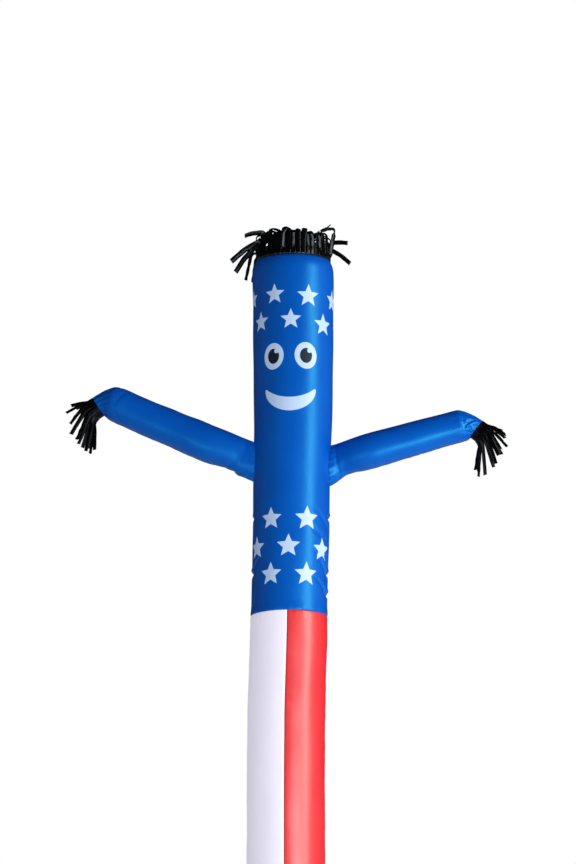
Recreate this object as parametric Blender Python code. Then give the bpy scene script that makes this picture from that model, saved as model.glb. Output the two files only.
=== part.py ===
"""An inflatable air dancer standing full of air: a cloth tube with a printed blue upper half, a striped
lower half of four panels, two blue sleeves for arms, a domed top with a vent, and black fringes.

Metres, +Z up. The origin is the centre of the hem on the ground and the front looks along -Y.
Angles round the tube are in degrees from the front, positive towards +X.
"""

import math
import random
from collections import namedtuple

import bmesh
import bpy
from mathutils import Matrix, Vector
from mathutils.bvhtree import BVHTree

# Driving dimensions
CLOTH = 0.0015
GAP = 0.0003
SEAM_HEIGHT = 1.616
TOP_EDGE = 3.020
HEM_TALL = 0.030
HEM_THICK = 0.003
TURN = -4.5  # the upper half faces a little towards -X
STRIPE_TURN = -3.0
SIDES = 40
PANEL_SIDES = 10

# The tube's outer radius and the sideways place of its middle, from the hem up
Section = namedtuple("Section", "height radius aside")
TUBE = (
    Section(0.00, 0.1485, 0.0000),
    Section(0.90, 0.1485, 0.0000),
    Section(1.20, 0.1487, 0.0018),
    Section(1.51, 0.1485, 0.0100),
    Section(1.62, 0.1484, 0.0122),
    Section(1.66, 0.1462, 0.0130),
    Section(1.94, 0.1466, 0.0198),
    Section(2.10, 0.1468, 0.0212),
    Section(2.42, 0.1537, 0.0283),
    Section(2.80, 0.1578, 0.0287),
    Section(2.97, 0.1580, 0.0288),
    Section(3.00, 0.1545, 0.0288),
    Section(3.02, 0.1475, 0.0288),
)

# Creases where the tube is a little pinched
Pinch = namedtuple("Pinch", "height angle depth tall wide")
PINCHES = (
    Pinch(1.987, 86, 0.0045, 0.014, 26),
    Pinch(1.987, -96, 0.0030, 0.014, 24),
    Pinch(1.769, 84, 0.0050, 0.013, 30),
    Pinch(1.769, -96, 0.0045, 0.013, 26),
    Pinch(1.694, 88, 0.0045, 0.010, 24),
    Pinch(1.640, 10, 0.0012, 0.010, 30),
    Pinch(1.640, -60, 0.0012, 0.010, 26),
)
BODY_ROWS = (SEAM_HEIGHT + GAP, 1.640, 1.660, 1.680, 1.694, 1.708, 1.730, 1.752, 1.769, 1.786, 1.830)
BODY_ROWS += (1.900, 1.964, 1.987, 2.010, 2.080, 2.200, 2.300, 2.420, 2.600, 2.800, 2.920, 2.970)
BODY_ROWS += (2.988, 3.003, 3.013, TOP_EDGE)
PANEL_ROWS = (0.30, 0.60, 0.90, 1.20, 1.40, 1.56, 1.600, SEAM_HEIGHT)

# The domed top
BAND_TALL = 0.020
DOME_RISE = 0.062
VENT_RADIUS = 0.042
PLEATS = 10
PLEAT_DEEP = 0.0045
DOME_STEPS = 6

# Sleeves: the highest and lowest points of each section, by their reach from the tube's middle
Cuff = namedtuple("Cuff", "top_reach top_height foot_reach foot_height")
SLEEVE_LEFT = (
    Cuff(0.0600, 2.2580, 0.1000, 2.1180),
    Cuff(0.1500, 2.2970, 0.1900, 2.1560),
    Cuff(0.1700, 2.3055, 0.2127, 2.1667),
    Cuff(0.1880, 2.3135, 0.2350, 2.1830),
    Cuff(0.3169, 2.3685, 0.3680, 2.2278),
    Cuff(0.4200, 2.4115, 0.4719, 2.2765),
    Cuff(0.5254, 2.4545, 0.5780, 2.3241),
    Cuff(0.6100, 2.4928, 0.6620, 2.3620),
    Cuff(0.6669, 2.5165, 0.7074, 2.3847),
    Cuff(0.7010, 2.5255, 0.7243, 2.3945),
    Cuff(0.7349, 2.5171, 0.7350, 2.4025),
    Cuff(0.7670, 2.5000, 0.7415, 2.4080),
    Cuff(0.7945, 2.4837, 0.7468, 2.4115),
)
SLEEVE_RIGHT = (
    Cuff(0.0700, 2.2567, 0.1100, 2.1050),
    Cuff(0.1500, 2.2810, 0.1680, 2.1310),
    Cuff(0.1680, 2.2866, 0.1900, 2.1470),
    Cuff(0.1900, 2.2933, 0.2200, 2.1660),
    Cuff(0.2614, 2.3149, 0.3000, 2.1808),
    Cuff(0.4117, 2.3547, 0.4487, 2.2234),
    Cuff(0.5100, 2.3783, 0.5480, 2.2525),
    Cuff(0.6000, 2.4010, 0.6300, 2.2762),
    Cuff(0.6326, 2.4090, 0.6600, 2.2845),
    Cuff(0.6526, 2.4122, 0.6720, 2.2880),
    Cuff(0.6772, 2.4067, 0.6810, 2.2910),
    Cuff(0.7122, 2.3910, 0.6900, 2.2945),
    Cuff(0.7518, 2.3684, 0.7010, 2.3023),
)
SLEEVE_SIDES = 24
ARMHOLE_CUFFS = 6  # the sections that pass through the tube's side
CUFF_BAND_LONG = 0.026

# Fringe strips: each is a run of straight lengths, rounded where they meet
STRIP_THICK = 0.0012
FOLD_ROUND = 0.012
SHARP_TURN = 30
ROUTE_STEP = 0.002
SECTION_APART = 0.006
TIP_LONG = 0.010
UNEVEN_WIDTH = 0.08
TRIES = 60  # a strip that would cross another is laid out again
CLEARANCE = 0.0012
CORNERS = ((-1, 1), (1, 1), (1, -1), (-1, -1))  # of a strip's section: side to side, outer face first
HAIR_STRIPS = 46
HAIR_WIDTH = 0.0178
HAIR_LONG = 0.160
HAIR_INWARD = 0.070  # how far a strip that folds over the top reaches in
HAIR_ROOT = 0.034  # a strip stands straight this far, then sways
HAIR_LAYER = 2.2  # neighbours lean out by this many degrees more or less, and so pass each other
HAIR_LAYER_RISE = 0.0050
HAIR_SEED = 4
HAIR_FIRST_SHARE = 0.45  # of the folded part, up to its second bend
# angle: the lock's place. It stands straight up, leaning outward, then has two folded lengths, each with
# its compass way, its angle from upright and how long it is; twist turns its flat face on the way
Lock = namedtuple("Lock", "angle stand lean way fold out way_after fold_after after twist")
HAIR_LOCKS = (
    Lock(-117, 0.018, 8, -117, 95, 0.016, -117, 172, 0.100, 0),
    Lock(-101, 0.026, 6, -101, 95, 0.016, -101, 168, 0.110, 20),
    Lock(-78, 0.034, 2, -86, 138, 0.070, -90, 149, 0.060, 75),
    Lock(-62, 0.048, -2, -84, 122, 0.070, -90, 132, 0.070, 80),
    Lock(-54, 0.080, -4, -70, 100, 0.050, -80, 112, 0.030, 50),
    Lock(38, 0.078, 2, 78, 82, 0.026, 88, 52, 0.032, 40),
    Lock(78, 0.108, 12, -60, 98, 0.034, -50, 112, 0.030, 20),
    Lock(94, 0.062, 3, 94, 86, 0.040, 94, 96, 0.026, 55),
    Lock(109, 0.046, 5, 100, 118, 0.050, 98, 130, 0.050, 60),
)
# Between the locks: from angle to angle, how far the strips stand and lean, and how they fold
Sector = namedtuple("Sector", "start end stand lean fold fold_after")
HAIR_SECTORS = (
    Sector(-180, -120, 0.071, 0, 142, 172),
    Sector(-120, -70, 0.076, -2, -96, -104),
    Sector(-70, 70, 0.081, -1, -94, -99),
    Sector(70, 120, 0.076, -2, -96, -104),
    Sector(120, 180, 0.071, 0, 142, 172),
)
# How unevenly the hair lies, more or less than its sector's figures
HairUneven = namedtuple("HairUneven", "stand sway way fold fold_after length inward twist")
HAIR_UNEVEN = HairUneven(0.005, 0.13, 12, 9, 6, 0.012, 0.006, 50)

HAND_STRIPS = 18
HAND_WIDTH = 0.0122
HAND_ROOT = 0.020
HAND_FLARE = 0.35
HAND_SEED = 11
HandUneven = namedtuple("HandUneven", "below length sideways twist")
HAND_UNEVEN = HandUneven(5, 0.008, 0.3, 70)
# A hand's fan: place round the mouth from its top, how far below level a strip points, its length, and
# how much it leans to the side that it is on
Fan = namedtuple("Fan", "place below length sideways")
FAN_LEFT = (
    Fan(0, 14, 0.062, 0.30),
    Fan(25, 26, 0.078, 0.50),
    Fan(50, 47, 0.112, 0.40),
    Fan(90, 66, 0.128, 0.30),
    Fan(130, 77, 0.132, 0.20),
    Fan(180, 85, 0.108, 0.10),
)
FAN_RIGHT = (
    Fan(0, 32, 0.062, 0.30),
    Fan(25, 42, 0.082, 0.50),
    Fan(50, 60, 0.110, 0.40),
    Fan(90, 74, 0.130, 0.30),
    Fan(130, 88, 0.134, 0.20),
    Fan(180, 100, 0.106, 0.10),
)

# Where a fringe is sewn: forward points out of the opening, zero is its spoke at place 0 and side at 90
Mouth = namedtuple("Mouth", "centre forward zero side radius")

Cloth = namedtuple("Cloth", "name colour roughness")
BLUE = Cloth("blue_nylon", (0.006, 0.085, 0.46), 0.42)
WHITE = Cloth("white_nylon", (0.74, 0.70, 0.80), 0.45)
RED = Cloth("red_nylon", (0.80, 0.022, 0.040), 0.42)
BLACK = Cloth("black_nylon", (0.006, 0.006, 0.007), 0.35)


def clear_scene():
    for old in list(bpy.data.objects):
        bpy.data.objects.remove(old, do_unlink=True)


def cloth_material(cloth):
    material = bpy.data.materials.new(cloth.name)
    material.use_nodes = True
    shader = material.node_tree.nodes["Principled BSDF"]
    shader.inputs["Base Color"].default_value = (*cloth.colour, 1.0)
    shader.inputs["Roughness"].default_value = cloth.roughness
    shader.inputs["Metallic"].default_value = 0.0
    return material


def between(rows, key, value, at):
    """A column of a table, read at a place between its rows on a smooth curve through them."""
    places = [getattr(row, key) for row in rows]
    values = [getattr(row, value) for row in rows]
    if at <= places[0]:
        return values[0]
    if at >= places[-1]:
        return values[-1]
    i = next(k for k in range(len(places) - 1) if at <= places[k + 1])
    steps = [after - before for before, after in zip(places, places[1:])]
    slopes = [(values[k + 1] - values[k]) / steps[k] for k in range(len(steps))]

    def tangent(k):
        if k in (0, len(places) - 1):
            return slopes[min(k, len(slopes) - 1)]
        before, after = slopes[k - 1], slopes[k]
        if before * after <= 0:
            return 0.0
        return 2 * before * after / (before + after)

    t = (at - places[i]) / steps[i]
    start, end = tangent(i) * steps[i], tangent(i + 1) * steps[i]
    rise = values[i + 1] - values[i]
    return values[i] + t * (start + t * (3 * rise - 2 * start - end + t * (start + end - 2 * rise)))


def tube_radius(height, angle):
    radius = between(TUBE, "height", "radius", height)
    for pinch in PINCHES:
        turn = (angle - pinch.angle + 180) % 360 - 180
        away = ((height - pinch.height) / pinch.tall) ** 2 + (turn / pinch.wide) ** 2
        radius -= pinch.depth * math.exp(-away)
    return radius


def vary(rng, by):
    return by * rng.uniform(-1, 1)


def round_point(radius, angle, height, aside):
    turn = math.radians(angle)
    return Vector((aside + radius * math.sin(turn), -radius * math.cos(turn), height))


def tube_point(height, angle, inset=0.0):
    radius = tube_radius(height, angle) - inset
    return round_point(radius, angle, height, between(TUBE, "height", "aside", height))


def new_object(name, bm, material):
    bmesh.ops.recalc_face_normals(bm, faces=bm.faces)
    mesh = bpy.data.meshes.new(name)
    bm.to_mesh(mesh)
    bm.free()
    mesh.materials.append(material)
    mesh.shade_smooth()
    mesh.set_sharp_from_angle(angle=math.radians(40))
    made = bpy.data.objects.new(name, mesh)
    bpy.context.scene.collection.objects.link(made)
    return made


def add_shell(bm, outer, inner, closed):
    """A wall between two grids of points, row by row. Closed rows join end to end."""
    skins = [[[bm.verts.new(p) for p in row] for row in grid] for grid in (outer, inner)]
    rows, columns = len(outer), len(outer[0])
    spans = columns if closed else columns - 1
    for skin in skins:
        for j in range(rows - 1):
            for i in range(spans):
                k = (i + 1) % columns
                bm.faces.new((skin[j][i], skin[j][k], skin[j + 1][k], skin[j + 1][i]))
    for j in (0, rows - 1):
        for i in range(spans):
            k = (i + 1) % columns
            bm.faces.new((skins[0][j][i], skins[0][j][k], skins[1][j][k], skins[1][j][i]))
    if not closed:
        for i in (0, columns - 1):
            for j in range(rows - 1):
                bm.faces.new((skins[0][j][i], skins[0][j + 1][i], skins[1][j + 1][i], skins[1][j][i]))
    return skins


def add_plug(bm, rings):
    """A closed solid through a stack of rings of points."""
    loops = [[bm.verts.new(p) for p in ring] for ring in rings]
    for low, high in zip(loops, loops[1:]):
        for i in range(len(low)):
            k = (i + 1) % len(low)
            bm.faces.new((low[i], low[k], high[k], high[i]))
    bm.faces.new(loops[0])
    bm.faces.new(loops[-1])


def cut_away(target, cutter):
    cutter.hide_render = True
    cutter.display_type = "WIRE"
    cut = target.modifiers.new("cut", "BOOLEAN")
    cut.operation = "DIFFERENCE"
    cut.solver = "EXACT"
    cut.object = cutter


def ring_angles(turn):
    return [turn + 360 * i / SIDES for i in range(SIDES)]


def build_upper_tube(blue):
    angles = ring_angles(TURN)
    bm = bmesh.new()
    outer = [[tube_point(z, a) for a in angles] for z in BODY_ROWS]
    inner = [[tube_point(z, a, CLOTH) for a in angles] for z in BODY_ROWS]
    add_shell(bm, outer, inner, closed=True)
    return new_object("body_upper", bm, blue)


def build_tube_guide(blue):
    """The upper tube as a filled solid, 0.3 mm larger all round, which trims the sleeves to its side."""
    bm = bmesh.new()
    add_plug(bm, [[tube_point(z, a, -GAP) for a in ring_angles(TURN)] for z in BODY_ROWS])
    return new_object("tube_guide", bm, blue)


def dome_profile(inset):
    """Radius and height of the cap from its edge to the vent."""
    edge = TUBE[-1].radius - CLOTH - GAP
    rim = TOP_EDGE + BAND_TALL
    profile = [(edge - inset, TOP_EDGE + GAP), (edge - inset, rim)]
    for step in range(1, DOME_STEPS + 1):
        radius = edge + (VENT_RADIUS - edge) * step / DOME_STEPS
        share = radius / edge
        upright = math.sqrt(1 - share * share)
        profile.append((radius - inset * share, rim + (DOME_RISE - inset) * upright))
    return profile


def dome_rows(inset):
    edge = TUBE[-1].radius
    rows = []
    for radius, height in dome_profile(inset):
        drawn_in = max(0.0, 1 - radius / edge)
        ring = []
        for angle in ring_angles(TURN):
            pleat = PLEAT_DEEP * drawn_in * math.cos(math.radians(PLEATS * (angle - TURN)))
            ring.append(round_point(radius, angle, height + pleat, TUBE[-1].aside))
        rows.append(ring)
    return rows


def build_head_top(blue):
    bm = bmesh.new()
    add_shell(bm, dome_rows(0.0), dome_rows(CLOTH), closed=True)
    return new_object("head_top", bm, blue)


def build_panel(name, start, material):
    """A quarter of the lower tube, its bottom turned up as a hem on the inside."""
    half_gap = math.degrees(GAP / 2 / TUBE[0].radius)
    low, high = start + half_gap, start + 90 - half_gap
    angles = [low + (high - low) * i / PANEL_SIDES for i in range(PANEL_SIDES + 1)]
    levels = [(0.0, HEM_THICK), (HEM_TALL, HEM_THICK), (HEM_TALL + CLOTH, CLOTH)]
    levels += [(z, CLOTH) for z in PANEL_ROWS]
    bm = bmesh.new()
    outer = [[tube_point(z, a) for a in angles] for z, _ in levels]
    inner = [[tube_point(z, a, thick) for a in angles] for z, thick in levels]
    add_shell(bm, outer, inner, closed=False)
    return new_object(name, bm, material)


class Sleeve:
    """A sleeve's sections, in the upright plane that the arm lies in."""

    def __init__(self, name, side, cuffs):
        self.name = name
        self.cuffs = cuffs
        turn = math.radians(TURN)
        self.out = side * Vector((math.cos(turn), math.sin(turn), 0))
        self.front = Vector((math.sin(turn), -math.cos(turn), 0))
        self.middle = Vector((between(TUBE, "height", "aside", 2.2), 0, 0))

    def point(self, reach, height):
        return self.middle + self.out * reach + Vector((0, 0, height))

    def frame(self, cuff):
        """A section's middle, the way up from there to its top, and the direction out along the sleeve."""
        top = self.point(cuff.top_reach, cuff.top_height)
        foot = self.point(cuff.foot_reach, cuff.foot_height)
        up = (top - foot) / 2
        forward = up.cross(self.front).normalized()
        if forward.dot(self.out) < 0:
            forward = -forward
        return (top + foot) / 2, up, forward

    def ring(self, cuff, inset=0.0):
        """A section's points, from its top over the front."""
        centre, up, _ = self.frame(cuff)
        half = up.length
        shrink = (half - inset) / half
        points = []
        for i in range(SLEEVE_SIDES):
            turn = 2 * math.pi * i / SLEEVE_SIDES
            spoke = up * math.cos(turn) + self.front * half * math.sin(turn)
            points.append(centre + spoke * shrink)
        return points

    def mouth(self):
        """The sleeve's end, whose place 0 is the top."""
        cuff = self.cuffs[-1]
        centre, up, forward = self.frame(cuff)
        return Mouth(centre + forward * GAP, forward, up.normalized(), self.front, up.length)


SLEEVES = (Sleeve("arm_left", -1, SLEEVE_LEFT), Sleeve("arm_right", 1, SLEEVE_RIGHT))


def build_sleeve(sleeve, blue):
    bm = bmesh.new()
    outer = [sleeve.ring(cuff) for cuff in sleeve.cuffs]
    inner = [sleeve.ring(cuff, CLOTH) for cuff in sleeve.cuffs]
    add_shell(bm, outer, inner, closed=True)
    return new_object(sleeve.name, bm, blue)


def build_armhole(sleeve, blue):
    """A filled solid as wide as the sleeve inside, which opens the tube's side."""
    bm = bmesh.new()
    add_plug(bm, [sleeve.ring(cuff, CLOTH) for cuff in sleeve.cuffs[:ARMHOLE_CUFFS]])
    return new_object(sleeve.name + "_hole", bm, blue)


def rounded_route(start, lengths):
    """Points and directions along straight lengths whose corners are rounded. Each length is (how long,
    direction). The route is returned as a function of the distance along it."""
    ends = []
    total = 0.0
    for long, _ in lengths:
        total += long
        ends.append(total)

    def direction(at):
        mixed = Vector((0, 0, 0))
        low, high = at - FOLD_ROUND, at + FOLD_ROUND
        begin = 0.0
        for (_, way), end in zip(lengths, ends):
            left = -1.0 if begin == 0.0 else begin
            right = total + 1.0 if end == total else end
            share = max(0.0, min(high, right) - max(low, left))
            mixed += way * share
            begin = end
        return mixed.normalized()

    spots = [start.copy()]
    for n in range(int(total / ROUTE_STEP) + 1):
        spots.append(spots[-1] + direction((n + 0.5) * ROUTE_STEP) * ROUTE_STEP)

    def place(at):
        n = min(int(at / ROUTE_STEP), len(spots) - 2)
        return spots[n].lerp(spots[n + 1], at / ROUTE_STEP - n), direction(at)

    stations = [0.0]
    for corner, (_, before), (_, after) in zip(ends, lengths, lengths[1:]):
        sharp = math.degrees(before.angle(after)) > SHARP_TURN
        stations += [corner - FOLD_ROUND, corner, corner + FOLD_ROUND] if sharp else [corner]
    kept = [0.0]
    for at in stations[1:]:
        if kept[-1] + SECTION_APART < at < total - TIP_LONG:
            kept.append(at)
    return place, kept + [total]


def strip_sections(root, width_way, outward, width, twist, lengths, spare=0.0):
    """The four-cornered sections of a strip, from its backing's rim to its tip."""
    start = sum(root, Vector()) / 4
    route, stations = rounded_route(start, lengths)
    facing = 1 if lengths[0][1].cross(width_way).dot(outward) > 0 else -1
    sections = [root]
    for at in stations[1:]:
        spot, way = route(at)
        across = (width_way - way * width_way.dot(way)).normalized()
        across = Matrix.Rotation(math.radians(twist) * at / stations[-1], 3, way) @ across
        through = way.cross(across) * facing
        half, deep = width / 2 + spare, STRIP_THICK / 2 + spare
        sections.append([spot + across * (half * s) + through * (deep * f) for s, f in CORNERS])
    return sections


def strip_skin(sections):
    """A strip's surface, for finding what it would cross."""
    points = [p for section in sections for p in section]
    faces = []
    for j in range(len(sections) - 1):
        for i in range(4):
            k = (i + 1) % 4
            faces.append((4 * j + i, 4 * j + k, 4 * j + 4 + k, 4 * j + 4 + i))
    faces.append(tuple(range(len(points) - 4, len(points))))
    return BVHTree.FromPolygons(points, faces)


def lay_out(count, root_at, strip_at, first, walls):
    """Each strip's sections. The strips named in first are laid before the others, and each of the rest
    is varied until it crosses no earlier strip and no wall."""
    laid, skins = {}, list(walls)
    for n in sorted(range(count), key=lambda k: k not in first):
        root = root_at(n)
        for attempt in range(TRIES):
            width_way, outward, width = root[1:]
            lengths, twist = strip_at(n, attempt)
            loose = strip_sections(root[0], width_way, outward, width, twist, lengths, CLEARANCE)
            if not any(strip_skin(loose).overlap(skin) for skin in skins):
                break
        laid[n] = strip_sections(root[0], width_way, outward, width, twist, lengths)
        skins.append(strip_skin(laid[n]))
    return [laid[n] for n in range(count)]


def spoke_at(mouth, place):
    turn = math.radians(place)
    return mouth.zero * math.cos(turn) + mouth.side * math.sin(turn)


def add_backing(bm, mouth, long, widths):
    """The fringe's uncut strip, a ring round the mouth. Returns the four rim corners under each strip."""
    places = []
    for n, width in enumerate(widths):
        middle, half = 360 * n / len(widths), math.degrees(width / 2 / mouth.radius)
        places += [middle - half, middle + half]
    skins = []
    for radius in (mouth.radius, mouth.radius - STRIP_THICK):
        ring = [mouth.centre + spoke_at(mouth, place) * radius for place in places]
        skins.append([[bm.verts.new(p + mouth.forward * along) for p in ring] for along in (0.0, long)])
    for i in range(len(places)):
        k = (i + 1) % len(places)
        for skin in skins:
            bm.faces.new((skin[0][i], skin[0][k], skin[1][k], skin[1][i]))
        bm.faces.new((skins[0][0][i], skins[0][0][k], skins[1][0][k], skins[1][0][i]))
        if i % 2:
            bm.faces.new((skins[0][1][i], skins[0][1][k], skins[1][1][k], skins[1][1][i]))
    outer, inner = skins[0][1], skins[1][1]
    return [[outer[i], outer[i + 1], inner[i + 1], inner[i]] for i in range(0, len(places), 2)]


def add_fringe(bm, mouth, long, widths, strip_at, first, walls):
    """A backing round a mouth, and a strip from each of its equal shares. strip_at gives a strip's
    straight lengths and its twist."""
    count = len(widths)
    rims = add_backing(bm, mouth, long, widths)

    def root_at(n):
        place = 360 * n / count
        corners = [v.co.copy() for v in rims[n]]
        return corners, spoke_at(mouth, place + 90), spoke_at(mouth, place), widths[n]

    for rim, sections in zip(rims, lay_out(count, root_at, strip_at, first, walls)):
        corners = rim
        for section in sections[1:]:
            ahead = [bm.verts.new(p) for p in section]
            for i in range(4):
                k = (i + 1) % 4
                one, two = (i, k) if i < 2 else (k, i)  # both flat faces are split along the same diagonal
                bm.faces.new((corners[one], corners[two], ahead[two]))
                bm.faces.new((corners[one], ahead[two], ahead[one]))
            corners = ahead
        bm.faces.new(corners)


def uneven_widths(width, count, seed):
    rng = random.Random(seed)
    return [width * (1 + vary(rng, UNEVEN_WIDTH)) for _ in range(count)]


def compass(way, fold):
    """A direction by the compass way it leans to and its angle from upright."""
    turn, tip = math.radians(way), math.radians(fold)
    return Vector((math.sin(turn) * math.sin(tip), -math.cos(turn) * math.sin(tip), math.cos(tip)))


def wall_skin(rows):
    """A round wall's outer face, for finding what would cross it."""
    columns = len(rows[0])
    faces = []
    for j in range(len(rows) - 1):
        for i in range(columns):
            k = (i + 1) % columns
            low = j * columns
            faces.append((low + i, low + k, low + columns + k, low + columns + i))
    return BVHTree.FromPolygons([p for row in rows for p in row], faces)


def hair_lock(lock, angle):
    return (
        (lock.stand, compass(angle, lock.lean)),
        (lock.out, compass(lock.way, lock.fold)),
        (lock.after, compass(lock.way_after, lock.fold_after)),
    )


def loose_hair(angle, layer, rng):
    """A strip's lengths and twist in its sector. Layers -1, 0 and 1 stand one outside the other."""
    sector = next(s for s in HAIR_SECTORS if s.start <= angle <= s.end)
    stand = sector.stand + HAIR_LAYER_RISE * layer + vary(rng, HAIR_UNEVEN.stand)
    upright = compass(angle, sector.lean + HAIR_LAYER * layer)
    aside = upright.cross(compass(angle, 90))
    swayed = (upright + aside * vary(rng, HAIR_UNEVEN.sway)).normalized()
    rest, twist = HAIR_LONG - stand + vary(rng, HAIR_UNEVEN.length), 0
    way = angle + vary(rng, HAIR_UNEVEN.way)
    fold, fold_after = sector.fold, sector.fold_after
    if fold < 0:
        rest = HAIR_INWARD + vary(rng, HAIR_UNEVEN.inward)
    else:
        fold += vary(rng, HAIR_UNEVEN.fold)
        fold_after += vary(rng, HAIR_UNEVEN.fold_after)
        twist = vary(rng, HAIR_UNEVEN.twist)
    lengths = (
        (HAIR_ROOT, upright),
        (stand - HAIR_ROOT, swayed),
        (HAIR_FIRST_SHARE * rest, compass(way, fold)),
        ((1 - HAIR_FIRST_SHARE) * rest, compass(way, fold_after)),
    )
    return lengths, twist


def build_hair(black):
    """The hair: named locks, and between them the strips that each sector describes, unevenly."""
    step = 360 / HAIR_STRIPS
    locks = {round(lock.angle / step) % HAIR_STRIPS: lock for lock in HAIR_LOCKS}

    def strip_at(n, attempt):
        angle = (n * step + 180) % 360 - 180
        if n in locks:
            return hair_lock(locks[n], angle), locks[n].twist
        return loose_hair(angle, n % 3 - 1, random.Random(HAIR_SEED * 10000 + n * 100 + attempt))

    bm = bmesh.new()
    centre = Vector((TUBE[-1].aside, 0, TOP_EDGE + GAP))
    mouth = Mouth(centre, Vector((0, 0, 1)), Vector((0, -1, 0)), Vector((1, 0, 0)), TUBE[-1].radius)
    dome = wall_skin(dome_rows(0.0)[1:])
    tube = wall_skin([[tube_point(z, a) for a in ring_angles(TURN)] for z in BODY_ROWS])
    widths = uneven_widths(HAIR_WIDTH, HAIR_STRIPS, HAIR_SEED)
    add_fringe(bm, mouth, BAND_TALL - GAP, widths, strip_at, locks, (dome, tube))
    return new_object("hair_fringe", bm, black)


def hand_strip(sleeve, fan, place, rng):
    """A hand strip's lengths and twist, by its place round the mouth in degrees."""
    around = 180 - abs(place - 180)
    below = math.radians(between(fan, "place", "below", around) + vary(rng, HAND_UNEVEN.below))
    long = between(fan, "place", "length", around) + vary(rng, HAND_UNEVEN.length)
    lean = between(fan, "place", "sideways", around) * (1 + vary(rng, HAND_UNEVEN.sideways))
    sideways = sleeve.front * (lean if place < 180 else -lean)
    aim = sleeve.out * math.cos(below) - Vector((0, 0, math.sin(below))) + sideways
    mouth = sleeve.mouth()
    flare = (mouth.forward + spoke_at(mouth, place) * HAND_FLARE).normalized()
    return ((HAND_ROOT, flare), (long, aim.normalized())), vary(rng, HAND_UNEVEN.twist)


def build_hand(sleeve, fan, seed, black):
    def strip_at(n, attempt):
        rng = random.Random(seed * 10000 + n * 100 + attempt)
        return hand_strip(sleeve, fan, 360 * n / HAND_STRIPS, rng)

    bm = bmesh.new()
    wall = wall_skin([sleeve.ring(cuff) for cuff in sleeve.cuffs])
    widths = uneven_widths(HAND_WIDTH, HAND_STRIPS, seed)
    add_fringe(bm, sleeve.mouth(), CUFF_BAND_LONG, widths, strip_at, (), (wall,))
    return new_object(sleeve.name.replace("arm", "hand_fringe"), bm, black)


def main():
    clear_scene()
    blue, white, red, black = [cloth_material(cloth) for cloth in (BLUE, WHITE, RED, BLACK)]

    tube = build_upper_tube(blue)
    guide = build_tube_guide(blue)
    for sleeve in SLEEVES:
        cut_away(tube, build_armhole(sleeve, blue))
        cut_away(build_sleeve(sleeve, blue), guide)
    build_head_top(blue)
    build_panel("stripe_front_left", STRIPE_TURN - 90, white)
    build_panel("stripe_front_right", STRIPE_TURN, red)
    build_panel("stripe_back_right", STRIPE_TURN + 90, white)
    build_panel("stripe_back_left", STRIPE_TURN + 180, red)
    build_hair(black)
    build_hand(SLEEVES[0], FAN_LEFT, HAND_SEED, black)
    build_hand(SLEEVES[1], FAN_RIGHT, HAND_SEED + 1, black)


main()
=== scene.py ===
"""The finished look of the inflatable air dancer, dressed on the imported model.

Metres, +Z up, the front looks along -Y. Angles round the tube are in degrees from the front, positive
towards +X. Each cloth piece is drawn flat as a grid of points and laid on the shape that the air holds
it in, with its seams and creases.
"""

import math
import random
from collections import namedtuple
from itertools import accumulate

import bpy
import numpy as np
from mathutils import Matrix, Vector
from mathutils.bvhtree import BVHTree
from mathutils.geometry import delaunay_2d_cdt


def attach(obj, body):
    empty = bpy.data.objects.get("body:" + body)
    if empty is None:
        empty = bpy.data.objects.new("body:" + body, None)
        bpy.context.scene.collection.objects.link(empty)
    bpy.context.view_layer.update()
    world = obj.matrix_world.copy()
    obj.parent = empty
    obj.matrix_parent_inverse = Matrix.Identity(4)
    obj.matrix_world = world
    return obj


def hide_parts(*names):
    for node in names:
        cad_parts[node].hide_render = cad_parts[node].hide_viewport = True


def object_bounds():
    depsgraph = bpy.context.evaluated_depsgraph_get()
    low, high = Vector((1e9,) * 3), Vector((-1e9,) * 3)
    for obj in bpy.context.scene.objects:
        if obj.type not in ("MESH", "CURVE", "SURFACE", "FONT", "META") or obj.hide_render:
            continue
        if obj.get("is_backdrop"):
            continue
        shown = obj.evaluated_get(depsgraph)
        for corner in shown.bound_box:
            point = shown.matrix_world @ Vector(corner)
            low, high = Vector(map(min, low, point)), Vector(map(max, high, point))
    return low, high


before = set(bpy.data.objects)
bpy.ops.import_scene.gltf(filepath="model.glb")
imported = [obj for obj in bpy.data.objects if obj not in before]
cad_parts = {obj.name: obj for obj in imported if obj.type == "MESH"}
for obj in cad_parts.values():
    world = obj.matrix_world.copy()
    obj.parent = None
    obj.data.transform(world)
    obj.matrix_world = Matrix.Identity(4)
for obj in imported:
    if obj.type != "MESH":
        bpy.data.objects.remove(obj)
cad_low, cad_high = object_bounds()


def table(columns, *rows):
    """Rows whose values are called by the names of their columns."""
    row = namedtuple("Row", columns)
    return [row(*values) for values in rows]


# Sizes of the part, which the cloth and its strips follow
CLOTH = 0.0015
GAP = 0.0003
SEAM_HEIGHT = 1.616
TOP_EDGE = 3.020
HEM_TALL = 0.030
HEM_THICK = 0.003
HEM_STITCHES = HEM_TALL - 0.003
HEM_ROUND = 0.997  # how much narrower the hem's lowest edge is drawn
TURN = -4.5
STRIPE_TURN = -3.0
SIDES = 40
AROUND = [TURN + 360 * i / SIDES for i in range(SIDES)]

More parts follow.
